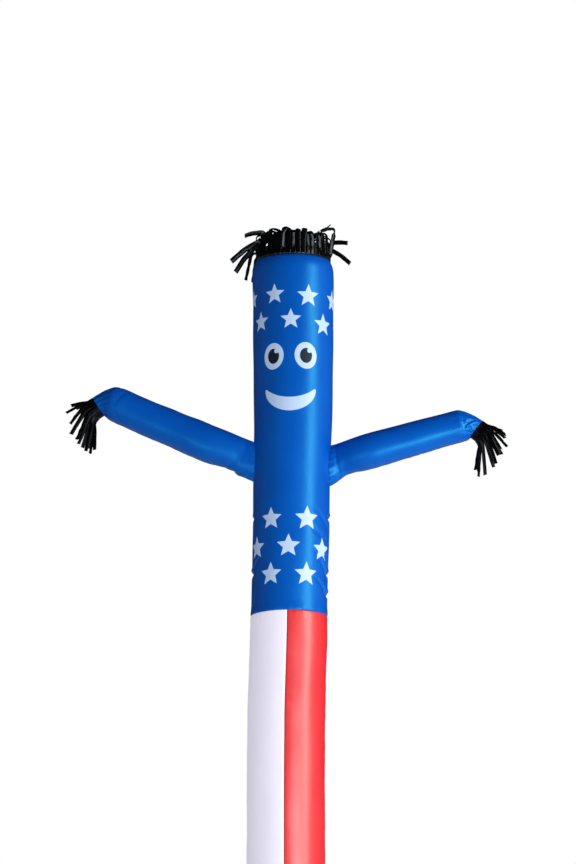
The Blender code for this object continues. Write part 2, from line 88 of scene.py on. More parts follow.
TUBE = table(
    "height radius aside",
    (0.0, 0.1485, 0.0),
    (0.9, 0.1485, 0.0),
    (1.2, 0.1487, 0.0018),
    (1.51, 0.1485, 0.01),
    (1.62, 0.1484, 0.0122),
    (1.66, 0.1462, 0.013),
    (1.94, 0.1466, 0.0198),
    (2.1, 0.1468, 0.0212),
    (2.42, 0.1537, 0.0283),
    (2.8, 0.1578, 0.0287),
    (2.97, 0.158, 0.0288),
    (3.0, 0.1545, 0.0288),
    (3.02, 0.1475, 0.0288),
)
BODY_ROWS = (SEAM_HEIGHT + GAP, 1.640, 1.660, 1.680, 1.694, 1.708, 1.730, 1.752, 1.769, 1.786, 1.830)
BODY_ROWS += (1.900, 1.964, 1.987, 2.010, 2.080, 2.200, 2.300, 2.420, 2.600, 2.800, 2.920, 2.970)
BODY_ROWS += (2.988, 3.003, 3.013, TOP_EDGE)

BAND_TALL = 0.020
DOME_RISE = 0.062
VENT_RADIUS = 0.042
PLEATS = 10
PLEAT_DEEP = 0.0045
DOME_STEPS = 6

CUFF = "top_reach top_height foot_reach foot_height"
SLEEVE_LEFT = table(
    CUFF,
    (0.06, 2.258, 0.1, 2.118),
    (0.15, 2.297, 0.19, 2.156),
    (0.17, 2.3055, 0.2127, 2.1667),
    (0.188, 2.3135, 0.235, 2.183),
    (0.3169, 2.3685, 0.368, 2.2278),
    (0.42, 2.4115, 0.4719, 2.2765),
    (0.5254, 2.4545, 0.578, 2.3241),
    (0.61, 2.4928, 0.662, 2.362),
    (0.6669, 2.5165, 0.7074, 2.3847),
    (0.701, 2.5255, 0.7243, 2.3945),
    (0.7349, 2.5171, 0.735, 2.4025),
    (0.767, 2.5, 0.7415, 2.408),
    (0.7945, 2.4837, 0.7468, 2.4115),
)
SLEEVE_RIGHT = table(
    CUFF,
    (0.07, 2.2567, 0.11, 2.105),
    (0.15, 2.281, 0.168, 2.131),
    (0.168, 2.2866, 0.19, 2.147),
    (0.19, 2.2933, 0.22, 2.166),
    (0.2614, 2.3149, 0.3, 2.1808),
    (0.4117, 2.3547, 0.4487, 2.2234),
    (0.51, 2.3783, 0.548, 2.2525),
    (0.6, 2.401, 0.63, 2.2762),
    (0.6326, 2.409, 0.66, 2.2845),
    (0.6526, 2.4122, 0.672, 2.288),
    (0.6772, 2.4067, 0.681, 2.291),
    (0.7122, 2.391, 0.69, 2.2945),
    (0.7518, 2.3684, 0.701, 2.3023),
)
SLEEVE_SIDES = 24
CUFF_BAND_LONG = 0.026

STRIP_THICK = 0.0012
FOLD_ROUND = 0.012
SHARP_TURN = 30
ROUTE_STEP = 0.002
SECTION_APART = 0.006
TIP_LONG = 0.010
UNEVEN_WIDTH = 0.08
TRIES = 60
CLEARANCE = 0.0012
CORNERS = ((-1, 1), (1, 1), (1, -1), (-1, -1))
HAIR_STRIPS = 46
HAIR_WIDTH = 0.0178
HAIR_LONG = 0.160
HAIR_INWARD = 0.070
HAIR_ROOT = 0.034
HAIR_LAYER = 2.2
HAIR_LAYER_RISE = 0.0050
HAIR_SEED = 4
HAIR_FIRST_SHARE = 0.45
# Hair strips that stand out singly: each stands, then hangs in two lengths. Ways are angles round the head
# and folds are degrees from upright. The sectors hold the same for the strips between them.
HAIR_LOCKS = table(
    "angle stand lean way fold out way_after fold_after after twist",
    (-117, 0.018, 8, -117, 95, 0.016, -117, 172, 0.1, 0),
    (-101, 0.026, 6, -101, 95, 0.016, -101, 168, 0.11, 20),
    (-78, 0.034, 2, -86, 138, 0.07, -90, 149, 0.06, 75),
    (-62, 0.048, -2, -84, 122, 0.07, -90, 132, 0.07, 80),
    (-54, 0.08, -4, -70, 100, 0.05, -80, 112, 0.03, 50),
    (38, 0.078, 2, 78, 82, 0.026, 88, 52, 0.032, 40),
    (78, 0.108, 12, -60, 98, 0.034, -50, 112, 0.03, 20),
    (94, 0.062, 3, 94, 86, 0.04, 94, 96, 0.026, 55),
    (109, 0.046, 5, 100, 118, 0.05, 98, 130, 0.05, 60),
)
HAIR_SECTORS = table(
    "start end stand lean fold fold_after",
    (-180, -120, 0.071, 0, 142, 172),
    (-120, -70, 0.076, -2, -96, -104),
    (-70, 70, 0.081, -1, -94, -99),
    (70, 120, 0.076, -2, -96, -104),
    (120, 180, 0.071, 0, 142, 172),
)
UNEVEN = "stand sway way fold fold_after length inward twist"
HAIR_UNEVEN = table(UNEVEN, (0.005, 0.13, 12, 9, 6, 0.012, 0.006, 50))[0]

HAND_STRIPS = 18
HAND_WIDTH = 0.0122
HAND_ROOT = 0.020
HAND_FLARE = 0.35
HAND_SEED = 11
HAND_UNEVEN = table("below length sideways twist", (5, 0.008, 0.3, 70))[0]
# How the strips of the hands hang, by their place round the mouth from its top
FAN = "place below length sideways"
FAN_LEFT = table(
    FAN,
    (0, 12, 0.038, 0.3),
    (25, 22, 0.046, 0.5),
    (50, 50, 0.094, 0.4),
    (90, 68, 0.122, 0.3),
    (130, 77, 0.132, 0.2),
    (180, 85, 0.108, 0.1),
)
FAN_RIGHT = table(
    FAN,
    (0, 28, 0.048, 0.3),
    (25, 38, 0.068, 0.5),
    (50, 58, 0.096, 0.4),
    (90, 74, 0.116, 0.3),
    (130, 88, 0.12, 0.2),
    (180, 100, 0.102, 0.1),
)
Mouth = namedtuple("Mouth", "centre forward zero side radius")

# The cloth as it is seen: real nylon is thinner than the solids' wall
THIN = 0.0008
BACK_SEAM = TURN + 180
FLAT_RADIUS = 0.15  # the cloth is drawn flat at this many metres to the radian
GRID = 0.0075
FINE_GRID = 0.0042  # between the rows of the creased part
FINE_BELOW = 2.03
NEAR_PRINT = 0.01
CLEAR_OF_PRINT = 0.0032  # no point of the grid is nearer than this to an outline
# How far the air holds the cloth out past the part's own wall
SWELLS = table(
    "height out",
    (0.0, 0.002),
    (1.75, 0.0018),
    (1.86, 0.003),
    (2.05, 0.0035),
    (2.35, 0.001),
    (2.85, 0.0015),
    (2.93, 0.0032),
    (2.99, 0.003),
    (3.02, 0.0),
)
CLOTH_UNEVEN = 0.0006
HEM_PULL = 0.0007
HEM_WAVES = 0.0009
SEAM_SAG = 0.009  # how much lower the seam over the stripes runs at the tube's sides

# Creases: where the middle is, which way each runs (0 is level, positive rises to the right), how long
# and wide it is in metres, and how deep. A crease has a soft ridge along its upper side.
BODY_CREASES = table(
    "height angle way long wide deep",
    (1.987, 86, 0, 0.08, 0.0075, 0.008),
    (1.987, -90, 0, 0.07, 0.0075, 0.005),
    (1.966, 62, -38, 0.11, 0.0095, 0.0042),
    (1.912, 50, -30, 0.12, 0.011, 0.003),
    (1.769, 86, 0, 0.08, 0.0075, 0.0095),
    (1.769, -90, 0, 0.08, 0.008, 0.008),
    (1.79, 62, -44, 0.11, 0.008, 0.0058),
    (1.815, 70, -40, 0.09, 0.007, 0.0046),
    (1.842, 64, -34, 0.09, 0.0085, 0.0036),
    (1.694, 86, 0, 0.07, 0.007, 0.012),
    (1.712, 62, -32, 0.1, 0.0075, 0.0056),
    (1.8, -66, 36, 0.09, 0.0085, 0.0036),
    (1.735, 150, 12, 0.14, 0.011, 0.002),
    (1.98, 160, -14, 0.16, 0.012, 0.0022),
    (1.655, -150, 8, 0.14, 0.01, 0.0014),
)

# Prints
STARS = table(
    "height angles outer inner larger lower",
    (2.859, (-161.5, -119.5, -77.5, -27.5, 22, 72.5, 114.5, 156.5), 0.0425, 0.019, 1.11, 0.008),
    (2.756, (-141.5, -101, -53, -3.5, 47.5, 97, 137), 0.0427, 0.0191, 1.1, 0.014),
    (1.972, (-157, -112, -31.5, 24.5, 105, 150), 0.0458, 0.0212, 1.09, 0.0),
    (1.864, (-134, -61, -3.5, 54.5, 127.5), 0.0468, 0.0216, 1.05, 0.009),
    (1.757, (-157, -112, -30.5, 25, 105, 150), 0.0466, 0.0215, 1.04, 0.001),
)
RIGHT_FROM = 10  # degrees: a row's stars past here are printed larger and lower
EYES = table("angle height wide tall tip", (-29.8, 2.611, 0.087, 0.105, 7), (18.6, 2.612, 0.091, 0.106, -7))


def clear_default_objects():
    for name in ("Cube", "Light", "Camera"):
        old = bpy.data.objects.get(name)
        if old is not None:
            bpy.data.objects.remove(old, do_unlink=True)


# Shapes shared by the pieces


def smooth(places, values, at):
    """Values on a smooth curve through a table's points, which never overshoots them."""
    places, values = np.asarray(places, float), np.asarray(values, float)
    at = np.asarray(at, float)
    steps = np.diff(places)
    slopes = np.diff(values) / steps
    tangents = np.zeros(len(places))
    tangents[0], tangents[-1] = slopes[0], slopes[-1]
    for k in range(1, len(slopes)):
        product = slopes[k - 1] * slopes[k]
        if product > 0:
            tangents[k] = 2 * product / (slopes[k - 1] + slopes[k])
    i = np.clip(np.searchsorted(places, at, side="left") - 1, 0, len(steps) - 1)
    t = np.clip((at - places[i]) / steps[i], 0, 1)
    start, end = tangents[i] * steps[i], tangents[i + 1] * steps[i]
    rise = values[i + 1] - values[i]
    return values[i] + t * (start + t * (3 * rise - 2 * start - end + t * (start + end - 2 * rise)))


def column(rows, name):
    return [getattr(row, name) for row in rows]


def between(rows, key, value, at):
    return float(smooth(column(rows, key), column(rows, value), at))


LEVELS = np.linspace(0.0, TOP_EDGE, 1511)
RADII = smooth(column(TUBE, "height"), column(TUBE, "radius"), LEVELS)
ASIDES = smooth(column(TUBE, "height"), column(TUBE, "aside"), LEVELS)


def turned(angles, angle):
    """Degrees from an angle, between -180 and 180."""
    return (angles - angle + 180) % 360 - 180


def ripples(across, up, seed, longest, shortest, count=6):
    """A gentle unevenness between about -1 and 1, the same each time."""
    rng = random.Random(seed)
    total = 0.0
    for _ in range(count):
        wave = rng.uniform(shortest, longest)
        way = rng.uniform(-math.pi, math.pi)
        phase = rng.uniform(0, 2 * math.pi)
        total = total + np.sin(2 * math.pi * (across * math.cos(way) + up * math.sin(way)) / wave + phase)
    return total / math.sqrt(count)


def crease_depth(across, up, crease):
    """How far a crease pushes the cloth in, by the metres across and up from the crease's middle."""
    way = math.radians(crease.way)
    along = across * math.cos(way) + up * math.sin(way)
    off = (up * math.cos(way) - across * math.sin(way)) / crease.wide
    fade = np.exp(-((2 * along / crease.long) ** 2))
    return crease.deep * fade * (np.exp(-off * off) - 0.35 * np.exp(-((off - 1.9) ** 2)))


def near(distance, wide):
    """1 on a line, and less with the distance from it."""
    return np.exp(-((distance / wide) ** 2))


# The thread pulls a seam in, deep metres over a width. Beside it the cloth puckers in small waves.
Seam = namedtuple("Seam", "deep wide pucker beside longest shortest")
LEVEL_SEAM = Seam(0.0013, 0.0045, 0.0005, 0.020, 0.05, 0.022)
UPRIGHT_SEAM = Seam(0.0006, 0.0030, 0.0004, 0.018, 0.06, 0.030)
SLEEVE_SEAM = Seam(0.0012, 0.0040, 0.0006, 0.018, 0.05, 0.025)


def sewn(along, off, seam, seed):
    """A seam's relief, by the place along it and the distance from it."""
    waves = ripples(along, 0 * along, seed, seam.longest, seam.shortest)
    return seam.pucker * waves * near(off, seam.beside) - seam.deep * near(off, seam.wide)


def gathers(turn, count, wander, slow, phase=0):
    """Pleats round a circle that aren't quite evenly apart, between -1 and 1."""
    return np.cos(turn * count + wander * np.sin(turn * slow + phase))


def body_relief(angles, heights):
    """How far the tube's cloth stands out of its even shape."""
    across = np.radians(angles) * FLAT_RADIUS
    out = CLOTH_UNEVEN * ripples(across, heights, 5, 0.30, 0.12)
    out = out + np.interp(heights, column(SWELLS, "height"), column(SWELLS, "out"))
    upper = heights > SEAM_HEIGHT
    for crease in BODY_CREASES:
        away = np.radians(turned(angles, crease.angle)) * FLAT_RADIUS
        out = out - upper * crease_depth(away, heights - crease.height, crease)
    out = out + sewn(across, heights - SEAM_HEIGHT, LEVEL_SEAM, 8)
    seams = [(STRIPE_TURN + 90 * k, ~upper) for k in range(4)] + [(BACK_SEAM, upper)]
    for angle, where in seams:
        off = np.radians(turned(angles, angle)) * FLAT_RADIUS
        out = out + where * sewn(heights, off, UPRIGHT_SEAM, 12 + int(angle))
    # the hem's line of stitches, and the slow waves of its edge
    out = out - HEM_PULL * near(heights - HEM_STITCHES, 0.003)
    return out + HEM_WAVES * ripples(across, 0 * heights, 21, 0.16, 0.06) * near(heights, 0.035)


def tube_radius(angles, heights):
    return np.interp(heights, LEVELS, RADII) + body_relief(angles, heights)


def tube_points(angles, heights, inset=0.0):
    radius = tube_radius(angles, heights) - inset
    turn = np.radians(angles)
    aside = np.interp(heights, LEVELS, ASIDES)
    sag = SEAM_SAG * np.sin(turn) ** 2 * near(heights - SEAM_HEIGHT, 0.12)
    return np.stack([aside + radius * np.sin(turn), -radius * np.cos(turn), heights - sag], axis=-1)


# Meshes and materials


def add_object(name, data):
    thing = bpy.data.objects.new(name, data)
    bpy.context.scene.collection.objects.link(thing)
    return thing


def make_piece(name, points, faces, flat, materials, slot, inks=None):
    """A mesh object that rides on the part. flat gives each point's place on the uncut cloth, in metres,
    and inks each face's material by its number."""
    mesh = bpy.data.meshes.new(name)
    mesh.from_pydata([tuple(p) for p in points], [], faces)
    for material in materials:
        mesh.materials.append(material)
    if inks is not None:
        mesh.polygons.foreach_set("material_index", inks)
    corners = np.empty(len(mesh.loops), np.int32)
    mesh.loops.foreach_get("vertex_index", corners)
    layer = mesh.uv_layers.new(name="UVMap")
    layer.data.foreach_set("uv", np.asarray(flat, np.float32)[corners].ravel())
    mesh.validate()
    mesh.shade_smooth()
    piece = add_object(name, mesh)
    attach(piece, "root")
    return piece


def grid_faces(rows, columns, closed):
    faces = []
    for low in range(0, (rows - 1) * columns, columns):
        for i in range(columns if closed else columns - 1):
            k = (i + 1) % columns
            faces.append((low + i, low + k, low + columns + k, low + columns + i))
    return faces


def shell(outer, inner, flat, closed):
    """Points, faces and flat places of cloth between two grids, which run counter-clockwise when they
    are seen from outside."""
    rows, columns = outer.shape[:2]
    count, top, last = rows * columns, (rows - 1) * columns, columns - 1
    faces = grid_faces(rows, columns, closed)
    faces += [tuple(i + count for i in face[::-1]) for face in faces]
    rims = []
    for i in range(columns if closed else last):
        k = (i + 1) % columns
        rims += [(k, i), (top + i, top + k)]
    if not closed:
        for a in range(0, top, columns):
            rims += [(a, a + columns), (a + columns + last, a + last)]
    faces += [(a, b, b + count, a + count) for a, b in rims]
    points = np.concatenate([outer, inner]).reshape(-1, 3)
    return points, faces, np.concatenate([flat, flat]).reshape(-1, 2)


def joined(parts):
    """The points, faces and flat places of several parts, as one."""
    faces, total = [], 0
    for points, own_faces, _ in parts:
        faces += [tuple(i + total for i in face) for face in own_faces]
        total += len(points)
    return np.concatenate([part[0] for part in parts]), faces, np.concatenate([part[2] for part in parts])


def new_material(name):
    material = bpy.data.materials.new(name)
    material.use_nodes = True
    return material, material.node_tree, material.node_tree.nodes["Principled BSDF"]


def feed(tree, node, inputs):
    """Gives each input its value, or links it to another node's output."""
    for name, value in inputs.items():
        if isinstance(value, bpy.types.NodeSocket):
            tree.links.new(value, node.inputs[name])
        else:
            node.inputs[name].default_value = value


def add_node(tree, kind, output, inputs, **settings):
    """The named output of a new node."""
    node = tree.nodes.new("ShaderNode" + kind)
    for name, value in settings.items():
        setattr(node, name, value)
    feed(tree, node, inputs)
    return node.outputs[output]


def blend(tree, factor, places, colours):
    """A colour between two, which lie at two places of a factor."""
    node = tree.nodes.new("ShaderNodeValToRGB")
    for element, place, colour in zip(node.color_ramp.elements, places, colours):
        element.position = place
        element.color = (*colour, 1)
    tree.links.new(factor, node.inputs["Fac"])
    return node.outputs["Color"]


def nylon(name, colour, shade, roughness, gloss, tint_of_gloss, crinkle=0.25, painted_glow=0.0):
    """Thin coated nylon: a plain weave, a faint crinkle, and a colour that is a little uneven. Any glow it is
    given is painted light: the cloth shines in its own colour, in place of light coming through it.
    """
    material, tree, shader = new_material(name)
    places = tree.nodes.new("ShaderNodeTexCoord").outputs
    solid, flat = places["Object"], places["UV"]
    patches = add_node(tree, "TexNoise", "Fac", {"Vector": solid, "Scale": 7.0, "Detail": 4.0})
    spread = {"Value": patches, "To Min": roughness - 0.05, "To Max": roughness + 0.05}
    lines = {"Vector": solid, "Scale": 26.0, "Detail": 5.0, "Distortion": 0.6}
    crinkles = {"Height": add_node(tree, "TexNoise", "Fac", lines), "Strength": crinkle, "Distance": 0.0025}
    threads = {"Vector": flat, "Scale": 380.0}
    both = {n: add_node(tree, "TexWave", "Fac", threads, bands_direction=way) for n, way in enumerate("XY")}
    weave = {
        "Height": add_node(tree, "Math", "Value", both, operation="MAXIMUM"),
        "Normal": add_node(tree, "Bump", "Normal", crinkles),
        "Strength": 0.18,
        "Distance": 0.00012,
    }
    looks = {
        "Base Color": blend(tree, patches, (0.30, 0.72), (shade, colour)),
        "Roughness": add_node(tree, "MapRange", "Result", spread),
        "Specular IOR Level": gloss,
        "Specular Tint": (*tint_of_gloss, 1),
        "Normal": add_node(tree, "Bump", "Normal", weave),
    }
    feed(tree, shader, looks)
    # painted glow: the cloth gives out light in its own colour, though it is no lamp
    if painted_glow:
        feed(tree, shader, {"Emission Color": (*colour, 1), "Emission Strength": painted_glow})
    return material


def thread(name, colour):
    """Sewing thread, with its ply as fine slanting bands."""
    material, tree, shader = new_material(name)
    place = tree.nodes.new("ShaderNodeTexCoord").outputs["Object"]
    ply = add_node(tree, "TexWave", "Fac", {"Vector": place, "Scale": 900.0}, bands_direction="DIAGONAL")
    shade = [0.6 * c for c in colour]
    feed(tree, shader, {"Base Color": blend(tree, ply, (0, 1), (shade, colour)), "Roughness": 0.5})
    return material


PLAIN = (1.0, 1.0, 1.0)
COOL = (0.75, 0.85, 1)
NEARLY_BLACK = (0.002, 0.002, 0.0025), (0.001, 0.001, 0.001)
PRINTED_WHITE = (0.41, 0.54, 0.76), (0.39, 0.52, 0.74)
PRINTED_BLACK = (0.010, 0.014, 0.028), (0.008, 0.011, 0.022)
BLUE = nylon("blue_cloth", (0.0, 0.078, 0.48), (0.0, 0.071, 0.45), 0.36, 1.0, (0.08, 0.76, 0.92))
# the white cloth's glow is painted light, standing in for light through the thin nylon, which evens out its
# shade
WHITE = nylon("white_cloth", (0.50, 0.48, 0.565), (0.48, 0.46, 0.545), 0.44, 0.3, PLAIN, painted_glow=0.80)
RED = nylon("red_cloth", (0.72, 0.018, 0.027), (0.69, 0.016, 0.024), 0.36, 1.0, (1.0, 0.84, 0.84))
BLACK = nylon("black_cloth", *NEARLY_BLACK, 0.20, 0.30, COOL, crinkle=0.2)
DULL_BLACK = nylon("dull_black", *NEARLY_BLACK, 0.32, 0.11, COOL)
# the white print's glow is painted light, which lightens the print on its shaded side
WHITE_PRINT = nylon("white_print", *PRINTED_WHITE, 0.38, 0.4, (1.0, 0.9, 1.0), painted_glow=0.17)
BLACK_PRINT = nylon("black_print", *PRINTED_BLACK, 0.46, 0.4, (0.6, 0.8, 1.0))
BLUE_THREAD = thread("blue_thread", (0.010, 0.11, 0.50))
WHITE_THREAD = thread("white_thread", (0.74, 0.72, 0.78))


# The printed cloth of the upper tube


def on_cloth(angle, height, points):
    """An outline drawn in real metres round a point of the tube, as places on the flat drawing."""
    radius = np.interp(height, LEVELS, RADII)
    across, up = np.asarray(points).T
    return np.stack([math.radians(angle) * FLAT_RADIUS + across * FLAT_RADIUS / radius, height + up], axis=-1)


def star_outline(star, angle):
    turns = np.radians(36 * np.arange(10))
    size = np.where(np.arange(10) % 2 == 0, star.outer, star.inner)
    height = star.height
    if angle > RIGHT_FROM:
        size = size * star.larger
        height = height - star.lower
    corners = np.stack([size * np.sin(turns), size * np.cos(turns)], axis=-1)
    halfway = (corners + np.roll(corners, -1, axis=0)) / 2
    return on_cloth(angle, height, np.stack([corners, halfway], axis=1).reshape(-1, 2))


def white_outline(eye):
    """An oval that leans by the eye's tip."""
    turns = 2 * math.pi * np.arange(40) / 40
    x, y = eye.wide / 2 * np.sin(turns), eye.tall / 2 * np.cos(turns)
    cos, sin = math.cos(math.radians(eye.tip)), math.sin(math.radians(eye.tip))
    return on_cloth(eye.angle, eye.height, np.stack([x * cos + y * sin, y * cos - x * sin], axis=-1))


def pupil_outline(eye):
    """An oval with a small round bite at its upper right, where the light would catch it."""
    half_wide, half_tall, bite, bitten = 0.025, 0.030, 0.009, np.array((0.0135, 0.0200))
    turns = np.radians(np.arange(0, 360, 8))
    points = np.stack([half_wide * np.sin(turns), half_tall * np.cos(turns)], axis=-1)
    off = points - bitten
    gone = np.flatnonzero((off**2).sum(axis=1) < bite**2)
    first, after = gone[0], gone[-1] + 1
    start, end = np.degrees(np.arctan2(off[:, 0], off[:, 1]))[[first - 1, after]]
    sweep = (end - start) % 360 - 360
    turns = np.radians(start + sweep * np.linspace(0.08, 0.92, 9))
    arc = bitten + bite * np.stack([np.sin(turns), np.cos(turns)], axis=-1)
    return on_cloth(eye.angle, eye.height, np.concatenate([points[:first], arc, points[after:]]))


def smile_outline():
    """A crescent with rounded corners."""
    angle, half, lower, upper, tip, corner = -4.9, 0.1055, 2.393, 2.4465, 2.4763, 0.005
    rounder = 0.70  # radians: how far the lower edge is drawn as if it ran round the tube
    x = np.sin(np.radians(np.linspace(-84, 84, 41)))
    seen = np.sin(rounder * x) / math.sin(rounder)
    low = lower + (tip - lower) * (1 - np.sqrt(1 - seen * seen))
    high = upper + (tip + 0.82 * corner - upper) * np.abs(x) ** 2.1
    end = np.radians(np.linspace(0, 120, 6))
    across, above = half - corner + corner * np.cos(end), tip + corner * np.sin(end)
    edges = ((x * (half - 1.57 * corner), high), (across[::-1], above[::-1]))
    edges += ((x[::-1] * half, low[::-1]), (-across, above))
    points = np.concatenate([np.stack(edge, axis=-1) for edge in edges])
    middle = 0.5 * (upper + lower)
    return on_cloth(angle, middle, points - (0, middle))


def inside_outline(points, outline):
    """Which points lie inside a closed outline."""
    found = np.zeros(len(points), bool)
    x, y = points[:, 0], points[:, 1]
    for (x0, y0), (x1, y1) in zip(outline, np.roll(outline, -1, axis=0)):
        crosses = (y0 > y) != (y1 > y)
        with np.errstate(divide="ignore", invalid="ignore"):
            found ^= crosses & (x < (x1 - x0) * (y - y0) / (y1 - y0) + x0)
    return found


def distance_to_outline(points, outline):
    best = np.full(len(points), 1e9)
    for a, b in zip(outline, np.roll(outline, -1, axis=0)):
        way = b - a
        t = np.clip(((points - a) @ way) / (way @ way), 0, 1)
        best = np.minimum(best, np.linalg.norm(points - a - t[:, None] * way, axis=1))
    return best


def spread(start, end, apart):
    return np.linspace(start, end, round((end - start) / apart) + 1)


def cut_cloth(prints, holes):
    """The flat cloth's places and triangles, with an edge along each printed shape and hole."""
    left, right = math.radians(BACK_SEAM - 360) * FLAT_RADIUS, math.radians(BACK_SEAM) * FLAT_RADIUS
    low, high = SEAM_HEIGHT + GAP, TOP_EDGE
    heights = np.concatenate([spread(low, FINE_BELOW, FINE_GRID), spread(FINE_BELOW, high, GRID)[1:]])
    grid = np.stack(np.meshgrid(spread(left, right, GRID), heights), axis=-1).reshape(-1, 2)
    borders = [np.abs(grid[:, axis] - at) < 1e-9 for axis, at in ((0, left), (0, right), (1, low), (1, high))]
    clear = np.ones(len(grid), bool)
    for outline in prints + holes:
        close = np.all((grid > outline.min(0) - NEAR_PRINT) & (grid < outline.max(0) + NEAR_PRINT), axis=1)
        clear[close] &= distance_to_outline(grid[close], outline) > CLEAR_OF_PRINT
    clear |= np.any(borders, axis=0)
    coords, edges = [Vector(p) for p in grid[clear]], []
    for border in borders:
        side = np.flatnonzero(border[clear]).tolist()
        edges += list(zip(side, side[1:]))
    for outline in prints + holes:
        first, count = len(coords), len(outline)
        coords += [Vector(p) for p in outline]
        edges += [(first + i, first + (i + 1) % count) for i in range(count)]
    places, _, faces = delaunay_2d_cdt(coords, edges, [], 0, 1e-6)[:3]
    places, faces = np.array([tuple(p) for p in places]), np.array([tuple(f) for f in faces])
    middle = places[faces].mean(axis=1)
    keep = np.all((middle > (left, low)) & (middle < (right, high)), axis=1)
    for hole in holes:
        keep &= ~inside_outline(middle, hole)
    used, faces = np.unique(faces[keep], return_inverse=True)
    places, faces = places[used], faces.reshape(-1, 3)
    corner = places[faces]
    turn = np.cross(corner[:, 1] - corner[:, 0], corner[:, 2] - corner[:, 0])
    faces[turn < 0] = faces[turn < 0][:, ::-1]
    return places, faces


def build_body(holes):
    whites = [star_outline(star, angle) for star in STARS for angle in star.angles] + [smile_outline()]
    whites += [white_outline(eye) for eye in EYES]
    blacks = [pupil_outline(eye) for eye in EYES]
    places, faces = cut_cloth(whites + blacks, holes)
    middle = places[faces].mean(axis=1)
    inks = np.zeros(len(faces), np.int32)
    for ink, outlines in ((1, whites), (2, blacks)):
        for outline in outlines:
            inks[inside_outline(middle, outline)] = ink
    angles, heights, count = np.degrees(places[:, 0] / FLAT_RADIUS), places[:, 1], len(places)
    points = np.concatenate([tube_points(angles, heights, inset) for inset in (0.0, THIN)])
    sides = np.concatenate([faces[:, pair] for pair in ([0, 1], [1, 2], [2, 0])]).tolist()
    known = {tuple(side) for side in sides}
    rims = sorted((b, a, a + count, b + count) for a, b in known if (b, a) not in known)
    inks = inks.tolist() + [0] * (len(faces) + len(rims))
    all_faces = faces.tolist() + (faces[:, ::-1] + count).tolist() + rims
    flat = np.concatenate([places, places])
    inked = [BLUE, WHITE_PRINT, BLACK_PRINT]
    return make_piece("body_upper_cloth", points, all_faces, flat, inked, "blue_nylon", inks)


# Sleeves


ROOT_DEEPER = 0.0006  # how far inside the tube's cloth a sleeve begins
ARM_LEVEL = 2.2
ROOT_FLAT = 0.34
ROOT_LONG = 0.16
ROOT_BACK = {"arm_left": 0.0, "arm_right": 0.020}  # how far behind the arm's line its root is sewn
SLEEVE_UNEVEN = 0.0007
ROOT_GATHER, ROOT_PULL = 0.0016, 0.0010
WRIST_GATHER, WRIST_PULL = 0.0015, 0.0012
ROWS_EVENLY = 0.4  # the rest of a sleeve's rows are closer together towards its ends
SLEEVE_RADIUS = 0.070  # the sleeves are drawn flat at this many metres to the radian


class Sleeve:
    """A sleeve's sections, in the upright plane that the arm lies in."""

    def __init__(self, name, side, cuffs, seed):
        self.name, self.side, self.cuffs, self.seed = name, side, cuffs, seed
        turn = math.radians(TURN)
        self.out = side * Vector((math.cos(turn), math.sin(turn), 0))
        self.front = Vector((math.sin(turn), -math.cos(turn), 0))
        self.middle = Vector((between(TUBE, "height", "aside", ARM_LEVEL), 0, 0))
        centres = [self.frame(cuff)[0] for cuff in cuffs]
        self.places = [0.0]
        for a, b in zip(centres, centres[1:]):
            self.places.append(self.places[-1] + (b - a).length)
        self.long = self.places[-1]

    def point(self, reach, height):
        return self.middle + self.out * reach + Vector((0, 0, height))

    def frame(self, cuff):
        """A section's middle, the way up from there to its top, and the direction out along the sleeve."""
        top = self.point(cuff.top_reach, cuff.top_height)
        foot = self.point(cuff.foot_reach, cuff.foot_height)
        up = (top - foot) / 2
        forward = up.cross(self.front).normalized()
        if forward.dot(self.out) < 0:
            forward = -forward
        return (top + foot) / 2, up, forward

    def ring(self, cuff):
        """A section's points, from its top over the front."""
        centre, up, _ = self.frame(cuff)
        turns = [2 * math.pi * i / SLEEVE_SIDES for i in range(SLEEVE_SIDES)]
        return [centre + (up * math.cos(t) + self.front * up.length * math.sin(t)) for t in turns]

    def mouth(self):
        """The sleeve's end, whose place 0 is the top."""
        centre, up, forward = self.frame(self.cuffs[-1])
        return Mouth(centre + forward * GAP, forward, up.normalized(), self.front, up.length)

    def cloth(self, along, places, stand_out=0.0):
        """Points by the distance along the sleeve and the place round it in degrees from its top."""
        edges = [smooth(self.places, values, along) for values in zip(*self.cuffs)]
        top, foot = np.stack(edges[:2], axis=-1), np.stack(edges[2:], axis=-1)
        centre, up = (top + foot) / 2, (top - foot) / 2
        half = np.linalg.norm(up, axis=-1)
        share = (half + stand_out) / half
        turn = np.radians(places)
        flat = centre + up * (np.cos(turn) * share)[..., None]
        # where it is sewn to the tube, a sleeve is flatter from front to back than it is tall
        root = np.clip(1 - (along - self.places[2]) / ROOT_LONG, 0, 1) ** 2
        forward = half * share * np.sin(turn) * (1 - ROOT_FLAT * root) - ROOT_BACK[self.name] * root
        points = flat[..., :1] * np.array(self.out) + forward[..., None] * np.array(self.front)
        return points + np.array(self.middle) + flat[..., 1:] * np.array((0, 0, 1))


# Wrinkles lie at a distance along the sleeve and at degrees round it from its top
WRINKLE = "along place way long wide deep"
WRINKLES = {
    "arm_left": table(
        WRINKLE,
        (0.135, 178, 55, 0.09, 0.008, 0.005),
        (0.15, 130, 65, 0.08, 0.009, 0.0026),
        (0.185, 200, 60, 0.07, 0.008, 0.0026),
        (0.12, 60, -50, 0.08, 0.01, 0.002),
        (0.655, 60, 70, 0.08, 0.008, 0.0026),
        (0.69, 30, 60, 0.07, 0.007, 0.003),
        (0.64, 150, -60, 0.06, 0.007, 0.002),
    ),
    "arm_right": table(
        WRINKLE,
        (0.13, 165, 50, 0.08, 0.008, 0.0032),
        (0.092, 95, 86, 0.07, 0.0045, 0.002),
        (0.635, 72, -63, 0.07, 0.0042, 0.0065),
        (0.645, 106, 55, 0.048, 0.0042, 0.0055),
        (0.612, 84, 78, 0.06, 0.008, 0.0026),
        (0.65, 20, -70, 0.06, 0.006, 0.003),
        (0.64, 150, 70, 0.05, 0.006, 0.0026),
    ),
}


